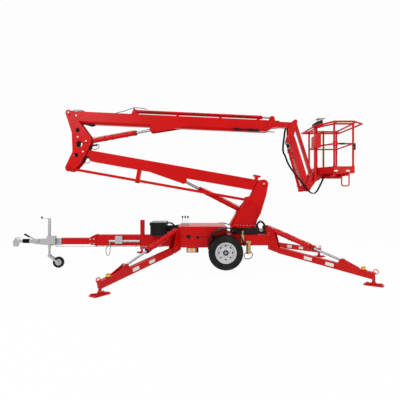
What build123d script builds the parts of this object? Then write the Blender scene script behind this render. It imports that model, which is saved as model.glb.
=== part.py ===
from build123d import *
import math
import os

os.makedirs("parts", exist_ok=True)

# Towable articulating boom lift standing on its four outriggers.
# Millimetres. X runs from the coupling (minus) to the basket (plus), Y away from the near side, Z up.
# The origin is on the floor, midway between the coupling's nose and the basket's guard ring.

# Fits and clearances
PIN_CLEARANCE = 0.3
SIDE_CLEARANCE = 1.0
RUNNING_GAP = 6.0
SEAT_GAP = 0.3

# Wheels and axle
WHEEL_X = 847.0
WHEEL_Z = 436.0
WHEEL_Y = 617.0
TYRE_RADIUS = 335.0
TYRE_WIDTH = 205.0
RIM_RADIUS = 207.0
RIM_WALL = 6.0
HUB_RADIUS = 52.0
SPINDLE_RADIUS = 18.0
AXLE_X = 690.0
AXLE_BEAM = 70.0
DRUM_RADIUS = 125.0
DRUM_WIDTH = 50.0

# Chassis
DRAWBAR_START = -1838.0
DRAWBAR_BOTTOM = 489.0
DRAWBAR_TOP = 717.0
DRAWBAR_WIDTH = 120.0
NOSE_TUBE_START = -2560.0
NOSE_TUBE_HEIGHT = 134.0
NOSE_TUBE_WIDTH = 84.0
NOSE_TUBE_Z = 581.0
FRAME_START = -85.0
FRAME_BOTTOM = 511.0
FRAME_TOP = 728.0
FRAME_HALF_WIDTH = 480.0
FRAME_SHOULDER = 1010.0
REAR_FRAME_END = 1830.0
REAR_FRAME_BOTTOM = 541.0
REAR_FRAME_TOP = 752.0
REAR_HALF_WIDTH = 400.0
RAIL_WIDTH = 80.0
DECK_END = 885.0
DECK_TOP = 926.0
DECK_WALL = 4.0
FENDER_Z = 565.0
FENDER_INNER = 342.0
FENDER_WALL = 10.0
FENDER_OUTER_Y = 724.0

# Slew ring and tower
SLEW_X = 1275.0
SLEW_RADIUS = 290.0
SLEW_BORE = 200.0
PEDESTAL_RADIUS = 255.0
SLEW_BOTTOM = 765.0
SLEW_TOP = 880.0
BASE_PLATE = 46.0
PLATE_GAP = 106.0
PLATE_WALL = 12.0
PIN_RADIUS = 25.0
BOOM_PIVOT = (1676.0, 1782.0)
LINK_OFFSET = (-300.0, -345.0)
LIFT_BASE = (1275.0, 1196.0)

# Lower boom
LOWER_LENGTH = 3815.0
LOWER_ANGLE = 10.07
LOWER_WIDTH = 150.0
LOWER_ABOVE = 60.0
LOWER_BELOW = 168.0
LOWER_WALL = 6.0
LOWER_ROD_PIN = (1647.0, -232.0)
LINK_HEIGHT = 55.0
LINK_WIDTH = 34.0
LINK_SPACING = 84.0

# Knuckle, measured from the lower boom's pin
KNUCKLE_TO_UPPER = (-303.0, 816.0)
KNUCKLE_TO_LIFT = (64.0, 222.0)

# Upper boom, measured along and square to the boom from its pivot
UPPER_ANGLE = -2.65
UPPER_ABOVE = 36.0
UPPER_BELOW = 214.0
UPPER_WIDTH = 200.0
UPPER_CHAMFER = 50.0
UPPER_WALL = 6.0
UPPER_START = 90.0
UPPER_END = 4140.0
UPPER_ROD_PIN = (1758.0, -258.0)
SECTION_GAP = 7.0
SECTION_WALL = 6.0
SECTION_START = 900.0
COLLAR_END = 4392.0
TIP_PIVOT = (4633.0, -50.0)
TIP_TOP = 21.0
TIP_BOTTOM = -94.0
TIP_WIDTH = 140.0
TELESCOPE_RISE = 72.0
TELESCOPE_START = 1392.0
TELESCOPE_END = 4075.0
TELESCOPE_RADIUS = 38.0
TELESCOPE_BORE = 30.0
TELESCOPE_ROD = 20.0

# Jib
JIB_PIVOT = (2254.0, 2796.0)
JIB_FOOT = (2597.0, 1688.0)
JIB_LINK_OFFSET = (88.0, 290.0)
JIB_DEPTH = 140.0
JIB_WIDTH = 120.0
JIB_LINK_SIZE = 66.0
JIB_CYLINDER_TOP = (2184.0, 2648.0)
JIB_CYLINDER_FOOT = (2457.0, 1648.0)
ELBOW_GAP = 77.0
ELBOW_WALL = 11.0

# Basket
FLOOR_Z = 1993.0
KICK_HEIGHT = 136.0
MID_RAIL_Z = 2568.0
TOP_RAIL_Z = 2963.0
POST_RADIUS = 20.0
RAIL_RADIUS = 18.0
BASKET_PLAN = [
    (2790.0, -60.0), (3010.0, -455.0), (3385.0, -455.0), (3400.0, 455.0), (2790.0, 455.0),
]
RING_PLAN = [
    (2700.0, -180.0), (2925.0, -680.0), (3310.0, -680.0), (3568.0, -440.0), (3540.0, 680.0), (2690.0, 680.0),
]

# Outriggers, measured in each one's own upright plane from its hinge
HINGE_Z = 465.0
FRONT_HINGE = (-191.0, 600.0)
FRONT_TURN = 54.2
REAR_HINGE = (1892.0, 450.0)
REAR_TURN = 33.8
ARM_SLOPE = 9.9
ARM_WIDTH = 90.0
ARM_HEIGHT = 116.0
ARM_TOP_PIN = (-110.0, 380.0)
ARM_ROD_PIN = (1220.0, -98.0)
BRACKET_GAP = 52.0
BRACKET_WALL = 10.0
FOOT_REACH = 1730.0
ARM_LENGTH = FOOT_REACH + 46.0
FOOT_LENGTH = 320.0
FOOT_WIDTH = 180.0
FOOT_PLATE = 12.0
BEACON_REACH = 1570.0

# Jockey wheel
JOCKEY_X = -2787.0
JOCKEY_Y = -95.0
JOCKEY_TOP = 1059.0
JOCKEY_OUTER = 30.0
JOCKEY_INNER = 24.0
JOCKEY_OUTER_END = 450.0
JOCKEY_FORK_Z = 300.0
JOCKEY_TRAIL = 190.0
JOCKEY_WHEEL_Z = 152.0
JOCKEY_WHEEL_RADIUS = 114.0
JOCKEY_WHEEL_WIDTH = 64.0

NEAR = Plane.XZ


def turned(vector, degrees):
    """A vector in an upright plane, turned upwards from its first axis."""
    angle = math.radians(degrees)
    x, z = vector
    return (x * math.cos(angle) - z * math.sin(angle), x * math.sin(angle) + z * math.cos(angle))


def moved(point, offset):
    return (point[0] + offset[0], point[1] + offset[1])


def slab(plane, outline, lateral, thickness, mode=Mode.ADD):
    """A flat plate of the given outline, square to an upright plane, its middle a distance out from it."""
    with BuildSketch(plane.offset(lateral)) as face:
        with BuildLine():
            Polyline(*outline, close=True)
        make_face()
    extrude(face.sketch, amount=thickness / 2, both=True, mode=mode)


def slab_pair(plane, outline, inner, thickness, mode=Mode.ADD):
    for sign in (-1, 1):
        slab(plane, outline, sign * (inner + thickness / 2), thickness, mode)


def hull_plate(plane, discs, lateral, thickness):
    """A plate drawn tight around discs given as x, z and radius."""
    with BuildSketch(plane.offset(lateral)) as face:
        for x, z, radius in discs:
            with Locations((x, z)):
                Circle(radius)
        make_hull()
    extrude(face.sketch, amount=thickness / 2, both=True)


def hull_pair(plane, discs, inner, thickness):
    for sign in (-1, 1):
        hull_plate(plane, discs, sign * (inner + thickness / 2), thickness)


def cross_round(plane, point, radius, half_width, mode=Mode.ADD, lateral=0.0):
    """A round bar or bore square to an upright plane."""
    with BuildSketch(plane.offset(lateral)) as face:
        with Locations(point):
            Circle(radius)
    extrude(face.sketch, amount=half_width, both=True, mode=mode)


def strip(start, end, above, below, lead=0.0, trail=0.0):
    """The four corners of a straight strip along a line, with what it reaches past each end."""
    run = (end[0] - start[0], end[1] - start[1])
    length = math.hypot(*run)
    along = (run[0] / length, run[1] / length)
    up = (-along[1], along[0]) if along[0] > 0 else (along[1], -along[0])
    first = (start[0] - along[0] * lead, start[1] - along[1] * lead)
    last = (end[0] + along[0] * trail, end[1] + along[1] * trail)
    return [
        (first[0] + up[0] * above, first[1] + up[1] * above),
        (last[0] + up[0] * above, last[1] + up[1] * above),
        (last[0] - up[0] * below, last[1] - up[1] * below),
        (first[0] - up[0] * below, first[1] - up[1] * below),
    ]


def box(low, high, mode=Mode.ADD):
    """A plain box between two corners."""
    with BuildSketch(Plane.XY.offset(low[2])) as face:
        with Locations(((low[0] + high[0]) / 2, (low[1] + high[1]) / 2)):
            Rectangle(high[0] - low[0], high[1] - low[1])
    extrude(face.sketch, amount=high[2] - low[2], mode=mode)


def upright_round(x, y, radius, low, high, mode=Mode.ADD):
    """A round bar or bore standing upright."""
    with BuildSketch(Plane.XY.offset(low)) as face:
        with Locations((x, y)):
            Circle(radius)
    extrude(face.sketch, amount=high - low, mode=mode)


def tube_path(points, radius, corner, closed=False):
    """A bent round tube through points, its corners rounded."""
    with BuildLine() as path:
        FilletPolyline(*points, radius=corner, close=closed)
    wire = path.wires()[0]
    with BuildSketch(Plane(origin=wire @ 0, z_dir=wire % 0)) as ring:
        Circle(radius)
    sweep(ring.sketch, path=wire)


def round_bar(start, end, radius, mode=Mode.ADD):
    """A straight round bar from one point to another."""
    run = Vector(*end) - Vector(*start)
    with BuildSketch(Plane(origin=start, z_dir=run)) as ring:
        Circle(radius)
    extrude(ring.sketch, amount=run.length, mode=mode)


def spun(plane, outline):
    """A round body made by spinning a half outline, given as along and out, about the plane's X axis."""
    with BuildSketch(plane) as face:
        with BuildLine():
            Polyline(*outline, close=True)
        make_face()
    revolve(face.sketch, axis=Axis(plane.origin, plane.x_dir))


def ram_plane(plane, base, tip):
    """The plane of a hydraulic cylinder, its X axis from the base pin to the rod pin."""
    run = (tip[0] - base[0], tip[1] - base[1])
    start = plane.from_local_coords((base[0], base[1], 0))
    ahead = plane.from_local_coords((tip[0], tip[1], 0)) - start
    return Plane(origin=start, x_dir=ahead, z_dir=plane.z_dir), math.hypot(*run)


def ram_barrel(plane, length, outer, bore, rod, eye, eye_half, pin):
    """A cylinder barrel: base eye, tube, gland and two hose ports, its base pin at the plane's origin."""
    end_cap = 40.0
    gland = 36.0
    shoulder = 5.0
    tube_start = eye * 0.78
    spun(plane, [
        (tube_start, 0), (tube_start, outer), (length - gland, outer), (length - gland, outer + shoulder),
        (length, outer + shoulder), (length, rod + PIN_CLEARANCE), (length - gland, rod + PIN_CLEARANCE),
        (length - gland, bore), (eye + end_cap, bore), (eye + end_cap, 0),
    ])
    cross_round(plane, (0, 0), eye, eye_half)
    cross_round(plane, (0, 0), pin + PIN_CLEARANCE, eye_half + outer, Mode.SUBTRACT)
    port = 11.0
    for station in (eye + end_cap + 30, length - gland - 30):
        start = plane.from_local_coords((station, bore + 3, 0))
        end = plane.from_local_coords((station, outer + 16, 0))
        round_bar(tuple(start), tuple(end), port)


def ram_rod(plane, total, inner_end, rod, eye, eye_half, stub, stub_half):
    """A cylinder rod with its eye and the short pin that turns in it."""
    with BuildSketch(plane) as half:
        with BuildLine():
            Polyline((inner_end, 0), (inner_end, rod), (total - eye * 0.6, rod), (total - eye * 0.6, 0), close=True)
        make_face()
    revolve(half.sketch, axis=Axis(plane.origin, plane.x_dir))
    cross_round(plane, (total, 0), eye, eye_half)
    cross_round(plane, (total, 0), stub, stub_half)


# Points that several pieces share
LOWER_DIRECTION = turned((-1.0, 0.0), -LOWER_ANGLE)
KNUCKLE_PIN = moved(BOOM_PIVOT, (LOWER_DIRECTION[0] * LOWER_LENGTH, LOWER_DIRECTION[1] * LOWER_LENGTH))
TOWER_LINK_PIN = moved(BOOM_PIVOT, LINK_OFFSET)
KNUCKLE_LINK_PIN = moved(KNUCKLE_PIN, LINK_OFFSET)
UPPER_PIVOT = moved(KNUCKLE_PIN, KNUCKLE_TO_UPPER)
UPPER_LIFT_BASE = moved(KNUCKLE_PIN, KNUCKLE_TO_LIFT)
JIB_LINK_TOP = moved(JIB_PIVOT, JIB_LINK_OFFSET)
JIB_LINK_FOOT = moved(JIB_FOOT, JIB_LINK_OFFSET)


def on_lower(along, out):
    """A point given along the lower boom from its pivot and square to it, upwards."""
    up = (-LOWER_DIRECTION[1] * -1, LOWER_DIRECTION[0] * -1)
    return (
        BOOM_PIVOT[0] + LOWER_DIRECTION[0] * along + up[0] * out,
        BOOM_PIVOT[1] + LOWER_DIRECTION[1] * along + up[1] * out,
    )


def on_upper(along, out):
    """A point given along the upper boom from its pivot and square to it, upwards."""
    return moved(UPPER_PIVOT, turned((along, out), UPPER_ANGLE))


LOWER_ROD_POINT = on_lower(*LOWER_ROD_PIN)
UPPER_ROD_POINT = on_upper(*UPPER_ROD_PIN)
TIP_POINT = on_upper(*TIP_PIVOT)

# Drawbar: main tube, clamped collar, nose tube and the boom's transport post
COLLAR_LENGTH = 160.0
POST_X = -863.0
POST_TOP = 1025.0
with BuildPart() as drawbar:
    box((DRAWBAR_START, -DRAWBAR_WIDTH / 2, DRAWBAR_BOTTOM), (FRAME_START, DRAWBAR_WIDTH / 2, DRAWBAR_TOP))
    box((NOSE_TUBE_START, -NOSE_TUBE_WIDTH / 2, NOSE_TUBE_Z - NOSE_TUBE_HEIGHT / 2),
        (DRAWBAR_START, NOSE_TUBE_WIDTH / 2, NOSE_TUBE_Z + NOSE_TUBE_HEIGHT / 2))
    for lateral in (-NOSE_TUBE_WIDTH / 2 - 10, NOSE_TUBE_WIDTH / 2 + 10):
        slab(NEAR, [
            (DRAWBAR_START - COLLAR_LENGTH, NOSE_TUBE_Z - 60), (DRAWBAR_START - COLLAR_LENGTH, NOSE_TUBE_Z + 60),
            (DRAWBAR_START - 40, DRAWBAR_TOP - 8), (DRAWBAR_START, DRAWBAR_TOP - 8),
            (DRAWBAR_START, DRAWBAR_BOTTOM + 8), (DRAWBAR_START - 40, DRAWBAR_BOTTOM + 8),
        ], lateral, 20)
    box((DRAWBAR_START, -DRAWBAR_WIDTH / 2 - 12, DRAWBAR_BOTTOM - 8),
        (DRAWBAR_START + 28, DRAWBAR_WIDTH / 2 + 12, DRAWBAR_TOP + 8))
    box((POST_X - 44, -30, DRAWBAR_TOP), (POST_X + 44, 30, POST_TOP))
    box((POST_X - 36, -22, DRAWBAR_TOP + 40), (POST_X + 36, 22, POST_TOP + 1), Mode.SUBTRACT)
drawbar.part.label = "drawbar"
export_step(drawbar.part, "parts/drawbar.step")

# Chassis frame: spine, side rails, cross members, slew pedestal and the narrower rear frame
with BuildPart() as chassis_frame:
    box((FRAME_START, -DRAWBAR_WIDTH / 2, FRAME_BOTTOM), (SLEW_X, DRAWBAR_WIDTH / 2, DRAWBAR_TOP))
    for sign in (-1, 1):
        outer = sign * FRAME_HALF_WIDTH
        inner = sign * (FRAME_HALF_WIDTH - RAIL_WIDTH)
        box((FRAME_START, min(outer, inner), FRAME_BOTTOM), (FRAME_SHOULDER, max(outer, inner), FRAME_TOP))
        outer = sign * REAR_HALF_WIDTH
        inner = sign * (REAR_HALF_WIDTH - RAIL_WIDTH)
        box((FRAME_SHOULDER - RAIL_WIDTH, min(outer, inner), REAR_FRAME_BOTTOM),
            (REAR_FRAME_END, max(outer, inner), REAR_FRAME_TOP))
    for start in (FRAME_START, 420.0):
        box((start, -FRAME_HALF_WIDTH, FRAME_BOTTOM), (start + RAIL_WIDTH, FRAME_HALF_WIDTH, FRAME_TOP))
    box((FRAME_SHOULDER - RAIL_WIDTH, -FRAME_HALF_WIDTH, FRAME_BOTTOM),
        (FRAME_SHOULDER, FRAME_HALF_WIDTH, FRAME_TOP))
    box((REAR_FRAME_END - RAIL_WIDTH, -REAR_HALF_WIDTH, REAR_FRAME_BOTTOM),
        (REAR_FRAME_END, REAR_HALF_WIDTH, REAR_FRAME_TOP))
    box((SLEW_X - 60, -REAR_HALF_WIDTH, REAR_FRAME_BOTTOM), (SLEW_X + 60, REAR_HALF_WIDTH, REAR_FRAME_TOP))
    upright_round(SLEW_X, 0, PEDESTAL_RADIUS, REAR_FRAME_BOTTOM, SLEW_BOTTOM)
    upright_round(SLEW_X, 0, SLEW_BORE, REAR_FRAME_BOTTOM - 1, SLEW_BOTTOM + 1, Mode.SUBTRACT)
chassis_frame.part.label = "chassis_frame"
export_step(chassis_frame.part, "parts/chassis_frame.step")

# Deck cover over the batteries: an open-bottomed lid with a rounded near edge
with BuildPart() as deck_cover:
    box((FRAME_START, -FRAME_HALF_WIDTH, FRAME_TOP), (DECK_END, FRAME_HALF_WIDTH, DECK_TOP))
    fillet(deck_cover.part.faces().sort_by(Axis.Z)[-1].edges(), 18)
    box((FRAME_START + DECK_WALL, -FRAME_HALF_WIDTH + DECK_WALL, FRAME_TOP - 1),
        (DECK_END - DECK_WALL, FRAME_HALF_WIDTH - DECK_WALL, DECK_TOP - DECK_WALL - 14), Mode.SUBTRACT)
deck_cover.part.label = "deck_cover"
export_step(deck_cover.part, "parts/deck_cover.step")

# Torsion axle: square beam, trailing arms and spindles
with BuildPart() as axle:
    beam_top = FRAME_BOTTOM
    beam_half = FRAME_HALF_WIDTH - 14
    box((AXLE_X - AXLE_BEAM / 2, -beam_half, beam_top - AXLE_BEAM),
        (AXLE_X + AXLE_BEAM / 2, beam_half, beam_top))
    beam_mid = (AXLE_X, beam_top - AXLE_BEAM / 2)
    for sign in (-1, 1):
        hull_plate(NEAR, [(*beam_mid, 34), (WHEEL_X, WHEEL_Z, 36)], sign * (beam_half - 10), 20)
        spindle_mid = (beam_half + WHEEL_Y + 30) / 2
        cross_round(NEAR, (WHEEL_X, WHEEL_Z), SPINDLE_RADIUS, (WHEEL_Y + 30 - beam_half) / 2,
                    lateral=sign * spindle_mid)
axle.part.label = "axle"
export_step(axle.part, "parts/axle.step")

# Fenders: half-round arches over the tyres with a turned-down outer lip
with BuildPart() as fenders:
    fender_width = FENDER_OUTER_Y - FRAME_HALF_WIDTH
    for sign in (-1, 1):
        with BuildSketch(NEAR.offset(sign * (FRAME_HALF_WIDTH + fender_width / 2))) as arch:
            with Locations((WHEEL_X, FENDER_Z)):
                Circle(FENDER_INNER + FENDER_WALL)
                Circle(FENDER_INNER, mode=Mode.SUBTRACT)
            with Locations((WHEEL_X, FENDER_Z - FENDER_INNER)):
                Rectangle(3 * FENDER_INNER, 2 * FENDER_INNER, mode=Mode.SUBTRACT)
        extrude(arch.sketch, amount=fender_width / 2, both=True)
fenders.part.label = "fenders"
export_step(fenders.part, "parts/fenders.step")

# Outrigger brackets welded to the frame's corners
OUTRIGGERS = {
    "front_near": (FRONT_HINGE[0], -FRONT_HINGE[1], 180 + FRONT_TURN),
    "front_far": (FRONT_HINGE[0], FRONT_HINGE[1], 180 - FRONT_TURN),
    "rear_near": (REAR_HINGE[0], -REAR_HINGE[1], -REAR_TURN),
    "rear_far": (REAR_HINGE[0], REAR_HINGE[1], REAR_TURN),
}


def outrigger_plane(corner):
    """The upright plane of one outrigger, its X axis outwards, its origin at the hinge."""
    x, y, turn = OUTRIGGERS[corner]
    angle = math.radians(turn)
    out = Vector(math.cos(angle), math.sin(angle), 0)
    return Plane(origin=(x, y, HINGE_Z), x_dir=out, z_dir=out.cross(Vector(0, 0, 1)))


BRACKET_BACK = 300.0
with BuildPart() as outrigger_brackets:
    for corner in OUTRIGGERS:
        plane = outrigger_plane(corner)
        outline = [
            (-12, -46), (34, -30), (46, 10), (10, 120), (-68, 400), (-96, 420), (-128, 416), (-150, 390),
            (-150, 270), (-BRACKET_BACK, 240), (-BRACKET_BACK, 40),
        ]
        slab_pair(plane, outline, BRACKET_GAP, BRACKET_WALL)
        slab(plane, [(-150, 60), (-150, 230), (-BRACKET_BACK, 230), (-BRACKET_BACK, 60)], 0, 2 * BRACKET_GAP)
        cross_round(plane, (0, 0), PIN_RADIUS, BRACKET_GAP + BRACKET_WALL + 8)
        cross_round(plane, ARM_TOP_PIN, PIN_RADIUS, BRACKET_GAP + BRACKET_WALL + 8)
    box((FRAME_START, -FRAME_HALF_WIDTH, 0), (FRAME_SHOULDER, FRAME_HALF_WIDTH, FRAME_TOP), Mode.SUBTRACT)
    box((FRAME_START, -FRAME_HALF_WIDTH, FRAME_TOP), (DECK_END, FRAME_HALF_WIDTH, DECK_TOP), Mode.SUBTRACT)
    box((FRAME_SHOULDER, -REAR_HALF_WIDTH, 0), (REAR_FRAME_END, REAR_HALF_WIDTH, REAR_FRAME_TOP), Mode.SUBTRACT)
outrigger_brackets.part.label = "outrigger_brackets"
export_step(outrigger_brackets.part, "parts/outrigger_brackets.step")

# Slew ring with its worm drive housing
with BuildPart() as slew_ring:
    upright_round(SLEW_X, 0, SLEW_RADIUS, SLEW_BOTTOM, SLEW_TOP)
    upright_round(SLEW_X, 0, SLEW_BORE, SLEW_BOTTOM - 1, SLEW_TOP + 1, Mode.SUBTRACT)
    for y in (-SLEW_RADIUS - 10,):
        box((SLEW_X - 60, y - 50, SLEW_BOTTOM), (SLEW_X + 250, y + 70, SLEW_TOP - 12))
        round_bar((SLEW_X + 250, y, SLEW_BOTTOM + 52), (SLEW_X + 400, y, SLEW_BOTTOM + 52), 46)
    upright_round(SLEW_X, 0, SLEW_BORE, SLEW_BOTTOM - 1, SLEW_TOP + 1, Mode.SUBTRACT)
slew_ring.part.label = "slew_ring"
export_step(slew_ring.part, "parts/slew_ring.step")

# Tower: base plate, front box and two cheek plates that carry the boom, link and lift cylinder
with BuildPart() as tower:
    upright_round(SLEW_X, 0, SLEW_RADIUS - 6, SLEW_TOP + SEAT_GAP, SLEW_TOP + BASE_PLATE)
    box((SLEW_X - 286, -170, SLEW_TOP + SEAT_GAP), (SLEW_X + 240, 170, SLEW_TOP + BASE_PLATE))
    cheek = [
        (960, 920), (1135, 1228), (1285, 1417), (1297, 1500), (1404, 1527), (1464, 1646), (1552, 1822),
        (1580, 1852), (1625, 1870), (1690, 1872), (1740, 1850), (1766, 1805), (1767, 1760),
        (1722, 1527), (1661, 1327), (1614, 1169), (1543, 1040), (1509, 920),
    ]
    slab_pair(NEAR, cheek, PLATE_GAP, PLATE_WALL)
    box_front = [(1018, 920), (1226, 1350), (1511, 1350), (1511, 920)]
    for sign in (-1, 1):
        slab(NEAR, box_front, sign * (PLATE_GAP + PLATE_WALL + 26), 52)
    slab(NEAR, [(960, 920), (1100, 1170), (1112, 1163), (990, 920)], 0, 2 * PLATE_GAP)
    slab(NEAR, [(1620, 1240), (1590, 1160), (1530, 1050), (1515, 1058), (1575, 1170), (1605, 1245)], 0, 2 * PLATE_GAP)
    for point in (BOOM_PIVOT, TOWER_LINK_PIN, LIFT_BASE):
        cross_round(NEAR, point, PIN_RADIUS, PLATE_GAP + PLATE_WALL + 10)
tower.part.label = "tower"
export_step(tower.part, "parts/tower.step")

# Lower boom: box tube, pivot bosses, cylinder bracket, link guide and the upper boom's rest
GUIDE_ALONG = 2612.0
REST_ALONG = 156.0
SLOT_HALF = 38.0
with BuildPart() as lower_boom:
    slab(NEAR, [
        on_lower(70, LOWER_ABOVE), on_lower(LOWER_LENGTH - 110, LOWER_ABOVE), on_lower(LOWER_LENGTH - 60, 30),
        on_lower(LOWER_LENGTH - 60, -60), on_lower(LOWER_LENGTH - 190, -LOWER_BELOW), on_lower(120, -LOWER_BELOW),
        on_lower(70, -90),
    ], 0, LOWER_WIDTH)
    slab(NEAR, [
        on_lower(120, LOWER_ABOVE - LOWER_WALL), on_lower(LOWER_LENGTH - 220, LOWER_ABOVE - LOWER_WALL),
        on_lower(LOWER_LENGTH - 220, -LOWER_BELOW + LOWER_WALL), on_lower(150, -LOWER_BELOW + LOWER_WALL),
    ], 0, LOWER_WIDTH - 2 * LOWER_WALL, Mode.SUBTRACT)
    rod_along, rod_out = LOWER_ROD_PIN
    slab(NEAR, [
        on_lower(rod_along - 420, -LOWER_BELOW - 1), on_lower(rod_along + 70, -LOWER_BELOW - 1),
        on_lower(rod_along + 70, -LOWER_BELOW + LOWER_WALL + 1), on_lower(rod_along - 420, -LOWER_BELOW + LOWER_WALL + 1),
    ], 0, 2 * SLOT_HALF, Mode.SUBTRACT)
    bracket = [
        on_lower(2401, -98), on_lower(2106, -120), on_lower(1958, -112), on_lower(1735, -77), on_lower(1632, -120),
        on_lower(1590, -215), on_lower(1610, -270), on_lower(1660, -292), on_lower(1712, -280), on_lower(2449, -160),
    ]
    slab_pair(NEAR, bracket, LOWER_WIDTH / 2, 10)
    for sign in (-1, 1):
        cross_round(NEAR, LOWER_ROD_POINT, 42, 6, lateral=sign * (LOWER_WIDTH / 2 + 14))
    hull_plate(NEAR, [(*BOOM_PIVOT, 57), (*on_lower(140, 0), 56), (*on_lower(150, -90), 50)], 0, LOWER_WIDTH)
    hull_plate(NEAR, [(*KNUCKLE_PIN, 58), (*on_lower(LOWER_LENGTH - 130, 0), 58)], 0, LOWER_WIDTH)
    for point in (BOOM_PIVOT, KNUCKLE_PIN):
        cross_round(NEAR, point, 48, PLATE_GAP - SIDE_CLEARANCE)
        cross_round(NEAR, point, PIN_RADIUS + PIN_CLEARANCE, PLATE_GAP, Mode.SUBTRACT)
    guide_half = LINK_SPACING - LINK_WIDTH / 2 - RUNNING_GAP
    slab(NEAR, [
        on_lower(GUIDE_ALONG - 40, -LOWER_BELOW), on_lower(GUIDE_ALONG + 40, -LOWER_BELOW),
        on_lower(GUIDE_ALONG + 40, -445), on_lower(GUIDE_ALONG - 40, -445),
    ], 0, 2 * guide_half)
    slab(NEAR, [
        on_lower(REST_ALONG - 30, LOWER_ABOVE - 4), on_lower(REST_ALONG + 36, LOWER_ABOVE - 4),
        on_lower(REST_ALONG + 36, 114), on_lower(REST_ALONG + 74, 122), on_lower(REST_ALONG + 74, 150),
        on_lower(REST_ALONG - 74, 150), on_lower(REST_ALONG - 74, 122), on_lower(REST_ALONG - 30, 114),
    ], 0, 110)
lower_boom.part.label = "lower_boom"
export_step(lower_boom.part, "parts/lower_boom.step")

# Levelling link of the lower boom: two square tubes side by side, joined at their eyes
with BuildPart() as lower_link:
    for sign in (-1, 1):
        slab(NEAR, strip(TOWER_LINK_PIN, KNUCKLE_LINK_PIN, LINK_HEIGHT / 2, LINK_HEIGHT / 2),
             sign * LINK_SPACING, LINK_WIDTH)
    for point in (TOWER_LINK_PIN, KNUCKLE_LINK_PIN):
        cross_round(NEAR, point, 44, PLATE_GAP - SIDE_CLEARANCE)
        cross_round(NEAR, point, PIN_RADIUS + PIN_CLEARANCE, PLATE_GAP, Mode.SUBTRACT)
lower_link.part.label = "lower_link"
export_step(lower_link.part, "parts/lower_link.step")

# Knuckle: two boomerang plates with lightening holes, held apart by pins and a web
with BuildPart() as knuckle:
    outline = [
        (-355, 862), (-303, 878), (-248, 850), (-234, 810), (-71, 608), (158, 300), (170, 266), (160, 220),
        (106, 54), (-42, -220), (-172, -367), (-210, -392), (-260, -408), (-320, -408), (-362, -380),
        (-376, -320), (-222, 2), (-237, 397), (-367, 800),
    ]
    points = [moved(KNUCKLE_PIN, point) for point in outline]
    slab_pair(NEAR, points, PLATE_GAP, PLATE_WALL)
    for x, z, radius in ((-114, 450, 46), (-81, 160, 65), (-143, -69, 43)):
        cross_round(NEAR, moved(KNUCKLE_PIN, (x, z)), radius, PLATE_GAP + PLATE_WALL + 1, Mode.SUBTRACT)
    for point in (KNUCKLE_PIN, KNUCKLE_LINK_PIN, UPPER_PIVOT, UPPER_LIFT_BASE):
        cross_round(NEAR, point, PIN_RADIUS, PLATE_GAP + PLATE_WALL + 10)
    web = [(-240, 330), (-228, 334), (-216, 90), (-228, 90)]
    slab(NEAR, [moved(KNUCKLE_PIN, point) for point in web], 0, 2 * PLATE_GAP)
knuckle.part.label = "knuckle"
export_step(knuckle.part, "parts/knuckle.step")

# Lower lift cylinder
LIFT_OUTER = 50.0
LIFT_BORE = 40.0
LIFT_ROD = 29.0
LIFT_EYE = 46.0
LOWER_LIFT_BARREL = 1060.0
lower_ram, lower_ram_length = ram_plane(NEAR, LIFT_BASE, LOWER_ROD_POINT)
with BuildPart() as lower_lift_barrel:
    ram_barrel(lower_ram, LOWER_LIFT_BARREL, LIFT_OUTER, LIFT_BORE, LIFT_ROD, LIFT_EYE, 40, PIN_RADIUS)
lower_lift_barrel.part.label = "lower_lift_barrel"
export_step(lower_lift_barrel.part, "parts/lower_lift_barrel.step")
with BuildPart() as lower_lift_rod:
    ram_rod(lower_ram, lower_ram_length, 330, LIFT_ROD, 40, 30, 22, 34)
lower_lift_rod.part.label = "lower_lift_rod"
export_step(lower_lift_rod.part, "parts/lower_lift_rod.step")

# Upper lift cylinder
UPPER_LIFT_BARREL = 1040.0
upper_ram, upper_ram_length = ram_plane(NEAR, UPPER_LIFT_BASE, UPPER_ROD_POINT)
with BuildPart() as upper_lift_barrel:
    ram_barrel(upper_ram, UPPER_LIFT_BARREL, LIFT_OUTER, LIFT_BORE, LIFT_ROD, LIFT_EYE, 60, PIN_RADIUS)
upper_lift_barrel.part.label = "upper_lift_barrel"
export_step(upper_lift_barrel.part, "parts/upper_lift_barrel.step")
with BuildPart() as upper_lift_rod:
    ram_rod(upper_ram, upper_ram_length, 240, LIFT_ROD, 38, 34, 20, 92)
upper_lift_rod.part.label = "upper_lift_rod"
export_step(upper_lift_rod.part, "parts/upper_lift_rod.step")


def boom_section(along, above, below, half_width, corner):
    """A boom's cross section at a station, its two lower corners cut off."""
    start = on_upper(along, 0)
    ahead = turned((1.0, 0.0), UPPER_ANGLE)
    plane = Plane(origin=(start[0], 0, start[1]), x_dir=(0, 1, 0), z_dir=(ahead[0], 0, ahead[1]))
    with BuildSketch(plane) as section:
        with BuildLine():
            Polyline(
                (-half_width, above), (half_width, above), (half_width, -below + corner),
                (half_width - corner, -below), (-half_width + corner, -below), (-half_width, -below + corner),
                close=True,
            )
        make_face()
    return section.sketch


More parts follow.
